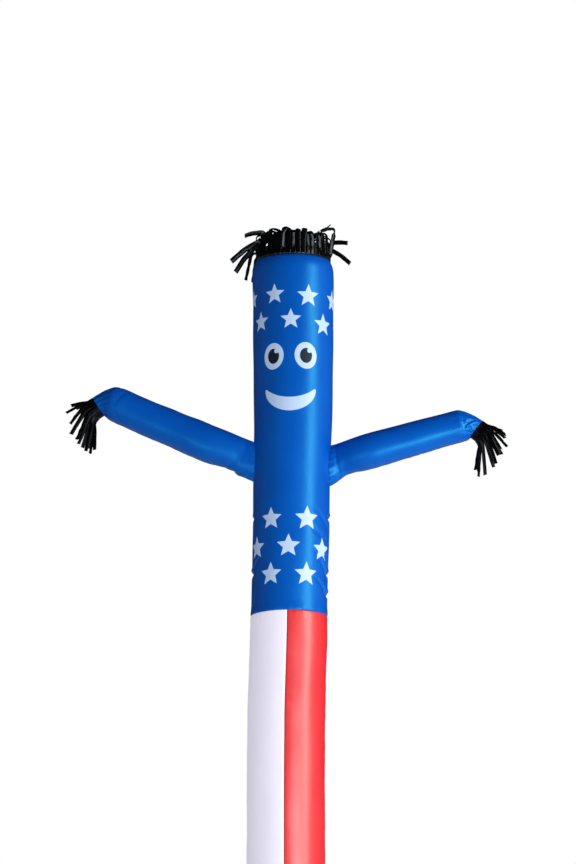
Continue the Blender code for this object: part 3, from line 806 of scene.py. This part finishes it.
def sleeve_relief(sleeve, along, places, root):
    """How far a sleeve's cloth stands out of its even shape. root is how far along the seam lies."""
    turn = np.radians(places)
    out = SLEEVE_UNEVEN * ripples(along, turn * SLEEVE_RADIUS, sleeve.seed, 0.20, 0.08)
    for wrinkle in WRINKLES[sleeve.name]:
        away = np.radians(turned(places, wrinkle.place)) * SLEEVE_RADIUS
        out = out - crease_depth(along - wrinkle.along, away, wrinkle)
    from_root, to_end = along - root, sleeve.long - along
    out = out + ROOT_GATHER * gathers(turn, 17, 0.8, 3, sleeve.seed) * np.exp(-from_root / 0.020)
    out = out - ROOT_PULL * np.exp(-from_root / 0.004)
    out = out + WRIST_GATHER * gathers(turn, 13, 1.2, 2, sleeve.seed) * near(to_end, 0.060)
    out = out - WRIST_PULL * near(to_end, 0.006)
    under = np.radians(turned(places, 180)) * SLEEVE_RADIUS
    return out + sewn(along, under, SLEEVE_SEAM, sleeve.seed + 3)


def round_tube(points):
    """Angles of points round the tube, and their distances from its middle."""
    x, y = points[:, 0] - np.interp(points[:, 2], LEVELS, ASIDES), points[:, 1]
    return np.degrees(np.arctan2(x, -y)), np.hypot(x, y)


def crossing(sleeve, places, stand_out, deeper):
    """How far along the sleeve each place round it leaves the tube's cloth."""
    along = np.linspace(0.0, 0.30, 601)
    found = []
    for place in places:
        points = sleeve.cloth(along, np.full(len(along), place), stand_out)
        angles, distances = round_tube(points)
        gone = distances - tube_radius(angles, points[:, 2]) + deeper
        i = int(np.argmax(gone > 0))
        share = gone[i - 1] / (gone[i - 1] - gone[i])
        found.append(along[i - 1] + share * (along[i] - along[i - 1]))
    return np.array(found)


def hole_outline(sleeve):
    """The armhole on the flat drawing, a little narrower than the sleeve."""
    places, stand_out = np.arange(0, 360, 7.5), -0.003
    points = sleeve.cloth(crossing(sleeve, places, stand_out, 0.0), places, stand_out)
    angles, _ = round_tube(points)
    return np.stack([np.radians(angles) * FLAT_RADIUS, points[:, 2]], axis=-1)


def build_sleeve(sleeve):
    columns, rows = 144, 150
    places = 360 * np.arange(columns) / columns
    root = crossing(sleeve, places, 0.0, ROOT_DEEPER)
    even = np.linspace(0, 1, rows)[:, None]
    share = ROWS_EVENLY * even + (1 - ROWS_EVENLY) * (0.5 - 0.5 * np.cos(math.pi * even))
    along = root[None, :] + (sleeve.long - root[None, :]) * share
    around = np.broadcast_to(places, along.shape)
    out = sleeve_relief(sleeve, along, around, root[None, :])
    grids = [sleeve.cloth(along, around, out), sleeve.cloth(along, around, out - THIN)]
    grids.append(np.stack([np.radians(around) * SLEEVE_RADIUS, along], axis=-1))
    if sleeve.side < 0:
        grids = [grid[:, ::-1] for grid in grids]
    return make_piece(sleeve.name + "_cloth", *shell(*grids, closed=True), [BLUE], "blue_nylon")


# Stripes and the domed top


def build_stripe(name, start, material, slot):
    """A quarter of the lower tube, whose hem is turned up inside."""
    half_gap = math.degrees(GAP / 2 / TUBE[0].radius)
    angles = np.linspace(start + half_gap, start + 90 - half_gap, 37)
    levels = [0.0, 0.0006, 0.004, 0.010, 0.016, 0.022, 0.025, 0.027, 0.029, HEM_TALL, 0.0315, 0.036]
    levels += list(np.linspace(0.044, SEAM_HEIGHT - 0.012, 150))
    levels += [SEAM_HEIGHT - 0.008, SEAM_HEIGHT - 0.005, SEAM_HEIGHT - 0.0025, SEAM_HEIGHT]
    levels = np.array(levels)
    thick = np.where(levels <= HEM_TALL, HEM_THICK, THIN)
    around, up = np.meshgrid(angles, levels)
    outer = tube_points(around, up)
    outer[0, :, :2] *= HEM_ROUND
    inner = tube_points(around, up, thick[:, None])
    flat = np.stack([np.radians(around) * FLAT_RADIUS, up], axis=-1)
    return make_piece(name, *shell(outer, inner, flat, closed=False), [material], slot)


DOME_EDGE = TUBE[-1].radius - CLOTH - GAP
FINE_PLEATS = 2.3  # to each pleat
FINE_UP = 0.0022
FINE_OUT = 0.0015


def dome_height(radius, turn, rise):
    """The cap's height with its pleats, by the distance from its middle and the turn from the seam."""
    upright = np.sqrt(np.maximum(0.0, 1 - (radius / DOME_EDGE) ** 2))
    drawn_in = np.maximum(0.0, 1 - radius / TUBE[-1].radius)
    return TOP_EDGE + BAND_TALL + rise * upright + PLEAT_DEEP * drawn_in * np.cos(PLEATS * turn), drawn_in


def dome_points(angles, share, inset):
    """The cap's cloth by the angle and by how far it is from the edge, 0, to the vent, 1."""
    radius = DOME_EDGE + (VENT_RADIUS - DOME_EDGE) * share
    turn = np.radians(angles - TURN)
    height, drawn_in = dome_height(radius, turn, DOME_RISE - inset)
    fine = gathers(turn, FINE_PLEATS * PLEATS, 1.5, 3) * drawn_in**2
    radius = radius - inset * radius / DOME_EDGE + FINE_OUT * fine
    turn = np.radians(angles)
    across, back = TUBE[-1].aside + radius * np.sin(turn), -radius * np.cos(turn)
    return np.stack([across, back, height + FINE_UP * fine], axis=-1)


def build_cap():
    columns, rows = 180, 30
    angles = TURN + 360 * np.arange(columns) / columns
    around, inward = np.meshgrid(angles, np.linspace(0, 1, rows))
    grids = []
    for inset in (0.0, THIN):
        dome = dome_points(around, inward, inset)
        foot = np.repeat(dome[:1], 3, axis=0)
        foot[:, :, 2] = TOP_EDGE + np.array([GAP, 0.008, 0.015])[:, None]
        grids.append(np.concatenate([foot, dome]))
    heights = grids[0][:, :, 2]
    grids.append(np.stack([np.radians(angles) * FLAT_RADIUS + 0 * heights, heights], axis=-1))
    return make_piece("head_top_cloth", *shell(*grids, closed=True), [BLUE], "blue_nylon")


# Fringes, whose strips follow the routes of the part's own


def vary(rng, by):
    return by * rng.uniform(-1, 1)


def round_point(radius, angle, height, aside):
    turn = math.radians(angle)
    return Vector((aside + radius * math.sin(turn), -radius * math.cos(turn), height))


def compass(way, fold):
    """A direction by the compass way it leans to and its angle from upright."""
    turn, tip = math.radians(way), math.radians(fold)
    return Vector((math.sin(turn) * math.sin(tip), -math.cos(turn) * math.sin(tip), math.cos(tip)))


def spoke_at(mouth, place):
    turn = math.radians(place)
    return mouth.zero * math.cos(turn) + mouth.side * math.sin(turn)


def rounded_route(start, lengths):
    """Points and directions along straight lengths whose corners are rounded."""
    ends = list(accumulate(long for long, _ in lengths))
    total = ends[-1]

    def direction(at):
        mixed = Vector((0, 0, 0))
        low, high = at - FOLD_ROUND, at + FOLD_ROUND
        begin = 0.0
        for (_, way), end in zip(lengths, ends):
            left = -1.0 if begin == 0.0 else begin
            right = total + 1.0 if end == total else end
            mixed += way * max(0.0, min(high, right) - max(low, left))
            begin = end
        return mixed.normalized()

    spots = [start.copy()]
    for n in range(int(total / ROUTE_STEP) + 1):
        spots.append(spots[-1] + direction((n + 0.5) * ROUTE_STEP) * ROUTE_STEP)

    def place(at):
        n = min(int(at / ROUTE_STEP), len(spots) - 2)
        return spots[n].lerp(spots[n + 1], at / ROUTE_STEP - n), direction(at)

    stations = [0.0]
    for corner, (_, before), (_, after) in zip(ends, lengths, lengths[1:]):
        sharp = math.degrees(before.angle(after)) > SHARP_TURN
        stations += [corner - FOLD_ROUND, corner, corner + FOLD_ROUND] if sharp else [corner]
    kept = [0.0]
    for at in stations[1:]:
        if kept[-1] + SECTION_APART < at < total - TIP_LONG:
            kept.append(at)
    return place, kept + [total]


Root = namedtuple("Root", "corners width_way outward width")


def strip_route(root, lengths):
    """A strip's route, the places of its sections, and 1 or -1 as its outer face lies."""
    facing = 1 if lengths[0][1].cross(root.width_way).dot(root.outward) > 0 else -1
    return *rounded_route(sum(root.corners, Vector()) / 4, lengths), facing


def across_way(root, way, turn):
    """A strip's direction from side to side where it runs along a way, turned by radians round it."""
    across = (root.width_way - way * root.width_way.dot(way)).normalized()
    return Matrix.Rotation(turn, 3, way) @ across


def surface(rows):
    """What a strip or a wall takes up, to find what crosses it."""
    return BVHTree.FromPolygons([p for row in rows for p in row], grid_faces(len(rows), len(rows[0]), True))


def strip_surface(root, lengths, twist, spare=0.0):
    route, stations, facing = strip_route(root, lengths)
    sections = [root.corners]
    half, deep = root.width / 2 + spare, STRIP_THICK / 2 + spare
    for at in stations[1:]:
        spot, way = route(at)
        across = across_way(root, way, math.radians(twist) * at / stations[-1])
        through = way.cross(across) * facing
        sections.append([spot + across * (half * s) + through * (deep * f) for s, f in CORNERS])
    return surface(sections)


def lay_out(roots, strip_at, first, walls):
    """Each strip's lengths and twist. The strips named in first are laid before the others, and each of
    the rest is varied until it crosses no earlier strip and no wall."""
    laid, taken = {}, list(walls)
    for n in sorted(range(len(roots)), key=lambda k: k not in first):
        for attempt in range(TRIES):
            laid[n] = strip_at(n, attempt)
            loose = strip_surface(roots[n], *laid[n], CLEARANCE)
            if not any(loose.overlap(other) for other in taken):
                break
        taken.append(strip_surface(roots[n], *laid[n]))
    return [laid[n] for n in range(len(roots))]


def fringe_roots(mouth, long, widths):
    """Where each strip leaves the uncut edge. Its corners follow the order of CORNERS."""
    top, inner = mouth.centre + mouth.forward * long, mouth.radius - STRIP_THICK
    roots = []
    for n, width in enumerate(widths):
        place, half = 360 * n / len(widths), math.degrees(width / 2 / mouth.radius)
        a, b = spoke_at(mouth, place - half), spoke_at(mouth, place + half)
        corners = [top + a * mouth.radius, top + b * mouth.radius, top + b * inner, top + a * inner]
        roots.append(Root(corners, spoke_at(mouth, place + 90), spoke_at(mouth, place), width))
    return roots


FULLER = 1.28  # the cloth strips close up, where the solid ones need room
LOCK_FULLER = 1.22
TURNED_BY = 0.4  # of a strip's length, by which it has its whole twist
STRIP_ROW = 0.005
FREE_FROM = 0.02  # where a strip is as far out as its route
ROOT_OUT = 0.0020  # how far outside its route it begins
SWAY_LONG = 0.09
SWAY = 6
CUP, CUP_VARIES = 0.0020, 0.0010
NARROWER = 0.12  # at most, as a share of the width, at the tip
SKEW = 0.003
WOBBLE, WOBBLES = (0.0004, 0.0012), 160  # metres, and radians to the metre
HALF_FINE = 0.0003
Face = namedtuple("Face", "angle turn until")
UNTURNED = Face(0, 0, 0.060)


def fine_strip(root, lengths, twist, rng, under, face, fuller):
    """A strip's two faces as rows of points from side to side, cupped a little, and its flat places. It
    starts as far down the uncut edge as under says. face turns it round its own length where it stands."""
    route, (*_, total), facing = strip_route(root, lengths)
    forward = lengths[0][1]
    count = max(6, int(total / STRIP_ROW))
    cup = vary(rng, CUP_VARIES) + CUP
    narrow, skew = rng.uniform(0.0, NARROWER), vary(rng, SKEW)
    wobble, phase = rng.uniform(*WOBBLE), rng.uniform(0, 6.28)
    sway = vary(rng, SWAY)
    grids = [], [], []
    places = [-under, -under / 2, -0.002] + [total * n / count for n in range(1, count + 1)]
    for n, at in enumerate(places):
        out = max(at, 0.0)
        spot, way = route(out)
        if at < 0:
            spot = spot + forward * at
        turn = twist * min(1.0, out / total / TURNED_BY)
        turn += sway * math.sin(math.pi * min(1.0, out / SWAY_LONG))
        stations = (0.0, 0.010, face.until, face.until + 0.014)
        turn += face.turn * np.interp(at, stations, (0.0, 1.0, 1.0, 0.0))
        across = across_way(root, way, math.radians(turn))
        through = way.cross(across) * facing
        if at < FREE_FROM:
            spot = spot + root.outward * (ROOT_OUT * (1 - out / FREE_FROM))
        half = root.width / 2 * fuller * (1 - narrow * n / len(places))
        fade = np.interp(at, (-under, FREE_FROM, 0.06, 0.08), (0.1, 0.3, 0.4, 1.0))
        wave = wobble * fade * math.sin(at * WOBBLES + phase)
        rows = [], [], []
        for share in (-1.0, -0.5, 0.0, 0.5, 1.0):
            lift = cup * fade * (1 - share * share) * 1.4 + wave * share
            end = way * (skew * share * (n / len(places)) ** 8)
            p = spot + across * (half * share) + through * lift + end
            rows[0].append(p + through * HALF_FINE)
            rows[1].append(p - through * HALF_FINE)
            rows[2].append((half * share, at))
        for grid, row in zip(grids, rows):
            grid.append(row)
    # counter-clockwise seen from outside
    return [np.array(grid)[:, ::-facing] for grid in grids]


def uncut_edge(mouth, long, count):
    """The fringe's edge above its cuts, as rows of points for its two faces, and its flat places."""
    places, levels = [360 * i / count for i in range(count)], np.linspace(0, long, 6)
    grids = []
    for radius in (mouth.radius, mouth.radius - THIN):
        ring = [mouth.centre + spoke_at(mouth, place) * radius for place in places]
        grids.append(np.array([[p + mouth.forward * level for p in ring] for level in levels]))
    grids.append(np.stack(np.meshgrid(np.radians(places) * mouth.radius, levels), axis=-1))
    clockwise = mouth.zero.cross(mouth.side).dot(mouth.forward) < 0
    return [grid[:, ::-1] for grid in grids] if clockwise else grids


def build_fringe(name, mouth, long, widths, strip_at, first, walls, seed, faces_at, material):
    roots = fringe_roots(mouth, long, widths)
    rng = random.Random(seed + 500)
    parts = [shell(*uncut_edge(mouth, long, 4 * len(roots)), closed=True)]
    for n, (lengths, twist) in enumerate(lay_out(roots, strip_at, first, walls)):
        fuller, face = LOCK_FULLER if n in first else FULLER, faces_at.get(n, UNTURNED)
        grids = fine_strip(roots[n], lengths, twist, rng, long - 0.001, face, fuller)
        parts.append(shell(*grids, closed=False))
    return make_piece(name, *joined(parts), [material], "black_nylon")


def uneven_widths(width, count, seed):
    rng = random.Random(seed)
    return [width * (1 + vary(rng, UNEVEN_WIDTH)) for _ in range(count)]


def hair_lock(lock, angle):
    upright, out = compass(angle, lock.lean), compass(lock.way, lock.fold)
    return (lock.stand, upright), (lock.out, out), (lock.after, compass(lock.way_after, lock.fold_after))


def loose_hair(angle, layer, rng):
    """A strip's lengths and twist in its sector. Layers -1, 0 and 1 stand one outside the other."""
    sector = next(s for s in HAIR_SECTORS if s.start <= angle <= s.end)
    stand = sector.stand + HAIR_LAYER_RISE * layer + vary(rng, HAIR_UNEVEN.stand)
    upright = compass(angle, sector.lean + HAIR_LAYER * layer)
    aside = upright.cross(compass(angle, 90))
    swayed = (upright + aside * vary(rng, HAIR_UNEVEN.sway)).normalized()
    rest, twist = HAIR_LONG - stand + vary(rng, HAIR_UNEVEN.length), 0
    way = angle + vary(rng, HAIR_UNEVEN.way)
    fold, fold_after = sector.fold, sector.fold_after
    if fold < 0:
        rest = HAIR_INWARD + vary(rng, HAIR_UNEVEN.inward)
    else:
        fold += vary(rng, HAIR_UNEVEN.fold)
        fold_after += vary(rng, HAIR_UNEVEN.fold_after)
        twist = vary(rng, HAIR_UNEVEN.twist)
    lengths = (
        (HAIR_ROOT, upright),
        (stand - HAIR_ROOT, swayed),
        (HAIR_FIRST_SHARE * rest, compass(way, fold)),
        ((1 - HAIR_FIRST_SHARE) * rest, compass(way, fold_after)),
    )
    return lengths, twist


def coarse_tube():
    """The tube's side as the part has it, which the strips keep clear of."""
    rows = []
    for z in BODY_ROWS:
        radius, aside = np.interp(z, LEVELS, RADII), np.interp(z, LEVELS, ASIDES)
        rows.append([round_point(radius, angle, z, aside) for angle in AROUND])
    return surface(rows)


def coarse_dome():
    rows = []
    for step in range(DOME_STEPS + 1):
        radius = DOME_EDGE + (VENT_RADIUS - DOME_EDGE) * step / DOME_STEPS
        heights = [dome_height(radius, math.radians(angle - TURN), DOME_RISE)[0] for angle in AROUND]
        rows.append([round_point(radius, *place, TUBE[-1].aside) for place in zip(AROUND, heights)])
    return surface(rows)


HAIR_FACES = (
    Face(-47, -45, 0.026),
    Face(-16, 44, 0.075),
    Face(0, 29, 0.075),
    Face(23, 6, 0.060),
    Face(47, -18, 0.060),
    Face(78, -60, 0.085),
    Face(94, 32, 0.20),
    Face(109, 28, 0.20),
)


def build_hair():
    step = 360 / HAIR_STRIPS
    locks = {round(lock.angle / step) % HAIR_STRIPS: lock for lock in HAIR_LOCKS}

    def strip_at(n, attempt):
        angle = (n * step + 180) % 360 - 180
        if n in locks:
            return hair_lock(locks[n], angle), locks[n].twist
        return loose_hair(angle, n % 3 - 1, random.Random(HAIR_SEED * 10000 + n * 100 + attempt))

    centre = Vector((TUBE[-1].aside, 0, TOP_EDGE + GAP))
    mouth = Mouth(centre, Vector((0, 0, 1)), Vector((0, -1, 0)), Vector((1, 0, 0)), TUBE[-1].radius)
    widths = uneven_widths(HAIR_WIDTH, HAIR_STRIPS, HAIR_SEED)
    walls = [coarse_dome(), coarse_tube()]
    faces_at = {round(face.angle / step) % HAIR_STRIPS: face for face in HAIR_FACES}
    return build_fringe(
        "hair_cloth", mouth, BAND_TALL - GAP, widths, strip_at, locks, walls, HAIR_SEED, faces_at, BLACK
    )


def hand_strip(sleeve, fan, place, rng):
    """A hand strip's lengths and twist, by its place round the mouth in degrees."""
    around = 180 - abs(place - 180)
    below = math.radians(between(fan, "place", "below", around) + vary(rng, HAND_UNEVEN.below))
    long = between(fan, "place", "length", around) + vary(rng, HAND_UNEVEN.length)
    lean = between(fan, "place", "sideways", around) * (1 + vary(rng, HAND_UNEVEN.sideways))
    sideways = sleeve.front * (lean if place < 180 else -lean)
    aim = sleeve.out * math.cos(below) - Vector((0, 0, math.sin(below))) + sideways
    mouth = sleeve.mouth()
    flare = (mouth.forward + spoke_at(mouth, place) * HAND_FLARE).normalized()
    return ((HAND_ROOT, flare), (long, aim.normalized())), vary(rng, HAND_UNEVEN.twist)


def build_hand(name, sleeve, fan, seed):
    def strip_at(n, attempt):
        rng = random.Random(seed * 10000 + n * 100 + attempt)
        return hand_strip(sleeve, fan, 360 * n / HAND_STRIPS, rng)

    walls = [surface([sleeve.ring(cuff) for cuff in sleeve.cuffs])]
    widths = uneven_widths(HAND_WIDTH, HAND_STRIPS, seed)
    return build_fringe(
        name, sleeve.mouth(), CUFF_BAND_LONG, widths, strip_at, (), walls, seed, {}, DULL_BLACK
    )


# Stitches


STITCH_APART = 0.0048
STITCH_LONG = 0.0036
BESIDE_SEAM = 0.003
PAST_SEAM = 0.004
THREAD_THICK = 0.0009
THREAD_SIDES = 5


def stitch_line(points, outward):
    """Small spindles of thread along a line of points on the cloth."""
    steps = np.linalg.norm(np.diff(points, axis=0), axis=1)
    along = np.concatenate([[0], np.cumsum(steps)])

    def at(place, values):
        return np.array([np.interp(place, along, values[:, i]) for i in range(3)])

    made, faces = [], []
    for middle in np.arange(STITCH_APART / 2, along[-1], STITCH_APART):
        a, b = at(middle - STITCH_LONG / 2, points), at(middle + STITCH_LONG / 2, points)
        up = at(middle, outward)
        side = np.cross((b - a) / np.linalg.norm(b - a), up)
        start = len(made)
        made.append(a - up * THREAD_THICK * 0.3)
        for share in (0.2, 0.8):
            centre = a + (b - a) * share + up * THREAD_THICK * 0.25
            for n in range(THREAD_SIDES):
                turn = 2 * math.pi * n / THREAD_SIDES
                made.append(centre + (side * math.cos(turn) + up * math.sin(turn)) * THREAD_THICK / 2)
        made.append(b - up * THREAD_THICK * 0.3)
        for i in range(THREAD_SIDES):
            low, low_next = start + 1 + i, start + 1 + (i + 1) % THREAD_SIDES
            high, high_next = low + THREAD_SIDES, low_next + THREAD_SIDES
            faces += [(start, low_next, low), (low, low_next, high_next, high)]
            faces.append((len(made) - 1, high, high_next))
    made = np.array(made)
    return made, faces, made[:, [0, 2]]


def build_stitches(name, lines, material, slot):
    return make_piece(name, *joined([stitch_line(*line) for line in lines]), [material], slot)


def tube_line(angles, heights):
    """Points along the tube's cloth, and the directions out of it."""
    turn = np.radians(angles)
    return tube_points(angles, heights), np.stack([np.sin(turn), -np.cos(turn), 0 * turn], axis=-1)


def level_line(height):
    angles = np.linspace(STRIPE_TURN - 180, STRIPE_TURN + 180, 361)
    return tube_line(angles, height + 0 * angles)


def upright_line(angle, low, high, off):
    """A line along a seam, so many metres beside it."""
    heights = np.linspace(low, high, 400)
    return tube_line(angle + math.degrees(off / FLAT_RADIUS) + 0 * heights, heights)


def sleeve_lines(sleeve):
    """The seam round the armhole, and the one along the underside."""
    places = np.linspace(0, 360, 181)
    root = crossing(sleeve, places, 0.0, ROOT_DEEPER)
    under = np.full(300, 180.0 + math.degrees(BESIDE_SEAM / SLEEVE_RADIUS))
    start = float(root[90])
    seam = np.linspace(start + 0.006, sleeve.long - PAST_SEAM, 300)
    lines = []
    for along, around, begin in ((root + PAST_SEAM, places, root), (seam, under, start)):
        out = sleeve_relief(sleeve, along, around, begin)
        points = sleeve.cloth(along, around, out)
        lines.append((points, (sleeve.cloth(along, around, out + 0.01) - points) * 100))
    return lines


# Floor, light and camera


FLOOR_HALF = 60
FLOOR_HEIGHT = -0.001
LAMPS = table(
    "name place target size energy colour shadow glossy",
    ("key", (5.1, -3.2, 2.9), (0.0, 0.0, 2.9), (1.9, 5.2), 232, (1.0, 1.0, 0.90), False, True),
    ("side", (6.0, 0.3, 2.3), (0.0, 0.0, 2.3), (2.4, 4.4), 80, (0.7, 1.0, 0.95), True, False),
    ("low_right", (2.0, -3.5, 0.4), (0.5, 0.0, 2.3), (1.7, 0.8), 84, PLAIN, False, True),
    ("low_left", (-1.7, -3.7, 0.3), (-0.5, 0.0, 2.3), (1.2, 0.6), 11, PLAIN, True, True),
)


def build_stage():
    mesh = bpy.data.meshes.new("floor")
    corners = ((-1, -1), (1, -1), (1, 1), (-1, 1))
    mesh.from_pydata([(x * FLOOR_HALF, y * FLOOR_HALF, FLOOR_HEIGHT) for x, y in corners], [], [(0, 1, 2, 3)])
    floor = add_object("floor", mesh)
    material, tree, shader = new_material("pale_floor")
    feed(tree, shader, {"Base Color": (0.82, 0.83, 0.85, 1), "Roughness": 0.8})
    mesh.materials.append(material)
    floor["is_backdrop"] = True


def build_lamps():
    for row in LAMPS:
        light = bpy.data.lights.new(row.name, "AREA")
        light.shape = "RECTANGLE"
        light.size, light.size_y = row.size
        light.energy = row.energy
        light.color = row.colour
        light.use_shadow = row.shadow
        lamp = add_object(row.name, light)
        lamp.location = row.place
        lamp.rotation_mode = "QUATERNION"
        lamp.rotation_quaternion = (Vector(row.target) - Vector(row.place)).to_track_quat("-Z", "Y")
        lamp.visible_camera = False
        lamp.visible_glossy = row.glossy


def build_sky():
    """A soft sky that is brighter low down and dim in gloss. The camera sees it as plain white."""
    world = bpy.data.worlds.new("studio")
    bpy.context.scene.world = world
    world.use_nodes = True
    tree = world.node_tree
    soft = tree.nodes["Background"]
    rays = tree.nodes.new("ShaderNodeLightPath").outputs
    place = tree.nodes.new("ShaderNodeTexCoord").outputs["Generated"]
    height = add_node(tree, "SeparateXYZ", "Z", {"Vector": place})
    bright = {"Value": height, "From Min": -0.1, "From Max": 0.8, "To Min": 0.78, "To Max": 0.21}
    gloss = {"Value": rays["Is Glossy Ray"], "To Min": 1.0, "To Max": 0.03}
    both = {
        0: add_node(tree, "MapRange", "Result", bright, interpolation_type="SMOOTHSTEP"),
        1: add_node(tree, "MapRange", "Result", gloss),
    }
    strength = add_node(tree, "Math", "Value", both, operation="MULTIPLY")
    feed(tree, soft, {"Color": (0.96, 0.98, 1.0, 1), "Strength": strength})
    seen = add_node(tree, "Background", "Background", {"Color": (1, 1, 1, 1), "Strength": 1.0})
    mixed = {"Fac": rays["Is Camera Ray"], 1: soft.outputs["Background"], 2: seen}
    feed(tree, tree.nodes["World Output"], {"Surface": add_node(tree, "MixShader", "Shader", mixed)})


def build_camera():
    data = bpy.data.cameras.new("camera")
    data.lens = 114.08
    data.sensor_width = 36.0
    camera = add_object("camera", data)
    camera.location = (0.008, -10.6, 0.39)
    camera.rotation_euler = (math.radians(100.4), 0.0, 0.0)
    bpy.context.scene.camera = camera


def dressed(piece, node):
    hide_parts(node)
    return piece


def main():
    clear_default_objects()
    left = Sleeve("arm_left", -1, SLEEVE_LEFT, 3)
    right = Sleeve("arm_right", 1, SLEEVE_RIGHT, 9)

    body = dressed(build_body([hole_outline(left), hole_outline(right)]), "body_upper")
    cap = dressed(build_cap(), "head_top")
    stripes = (
        ("stripe_front_left", STRIPE_TURN - 90, WHITE, "white_nylon"),
        ("stripe_front_right", STRIPE_TURN, RED, "red_nylon"),
        ("stripe_back_right", STRIPE_TURN + 90, WHITE, "white_nylon"),
        ("stripe_back_left", STRIPE_TURN + 180, RED, "red_nylon"),
    )
    panels = [dressed(build_stripe(node + "_cloth", *stripe), node) for node, *stripe in stripes]
    arms = [dressed(build_sleeve(sleeve), sleeve.name) for sleeve in (left, right)]
    hair = dressed(build_hair(), "hair_fringe")
    for sleeve, fan, seed in ((left, FAN_LEFT, HAND_SEED), (right, FAN_RIGHT, HAND_SEED + 1)):
        hand = build_hand(sleeve.name.replace("arm", "hand") + "_cloth", sleeve, fan, seed)
        dressed(hand, sleeve.name.replace("arm", "hand_fringe"))

    blue_lines = [level_line(SEAM_HEIGHT + PAST_SEAM)]
    blue_lines.append(upright_line(BACK_SEAM, SEAM_HEIGHT + 0.006, TOP_EDGE - 0.010, BESIDE_SEAM))
    blue_lines += sleeve_lines(left) + sleeve_lines(right)
    build_stitches("blue_stitches", blue_lines, BLUE_THREAD, "blue_nylon")
    white_lines = [level_line(HEM_STITCHES)]
    low, high = HEM_TALL + PAST_SEAM, SEAM_HEIGHT - PAST_SEAM
    white_lines += [upright_line(STRIPE_TURN + 90 * k, low, high, -BESIDE_SEAM) for k in range(4)]
    build_stitches("white_stitches", white_lines, WHITE_THREAD, "white_nylon")

    build_stage()
    build_lamps()
    build_sky()
    build_camera()
    bpy.context.scene.view_settings.view_transform = "Standard"
    bpy.context.scene.view_settings.look = "None"

    low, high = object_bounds()
    {"cad": [list(cad_low), list(cad_high)], "visual": [list(low), list(high)]}


main()
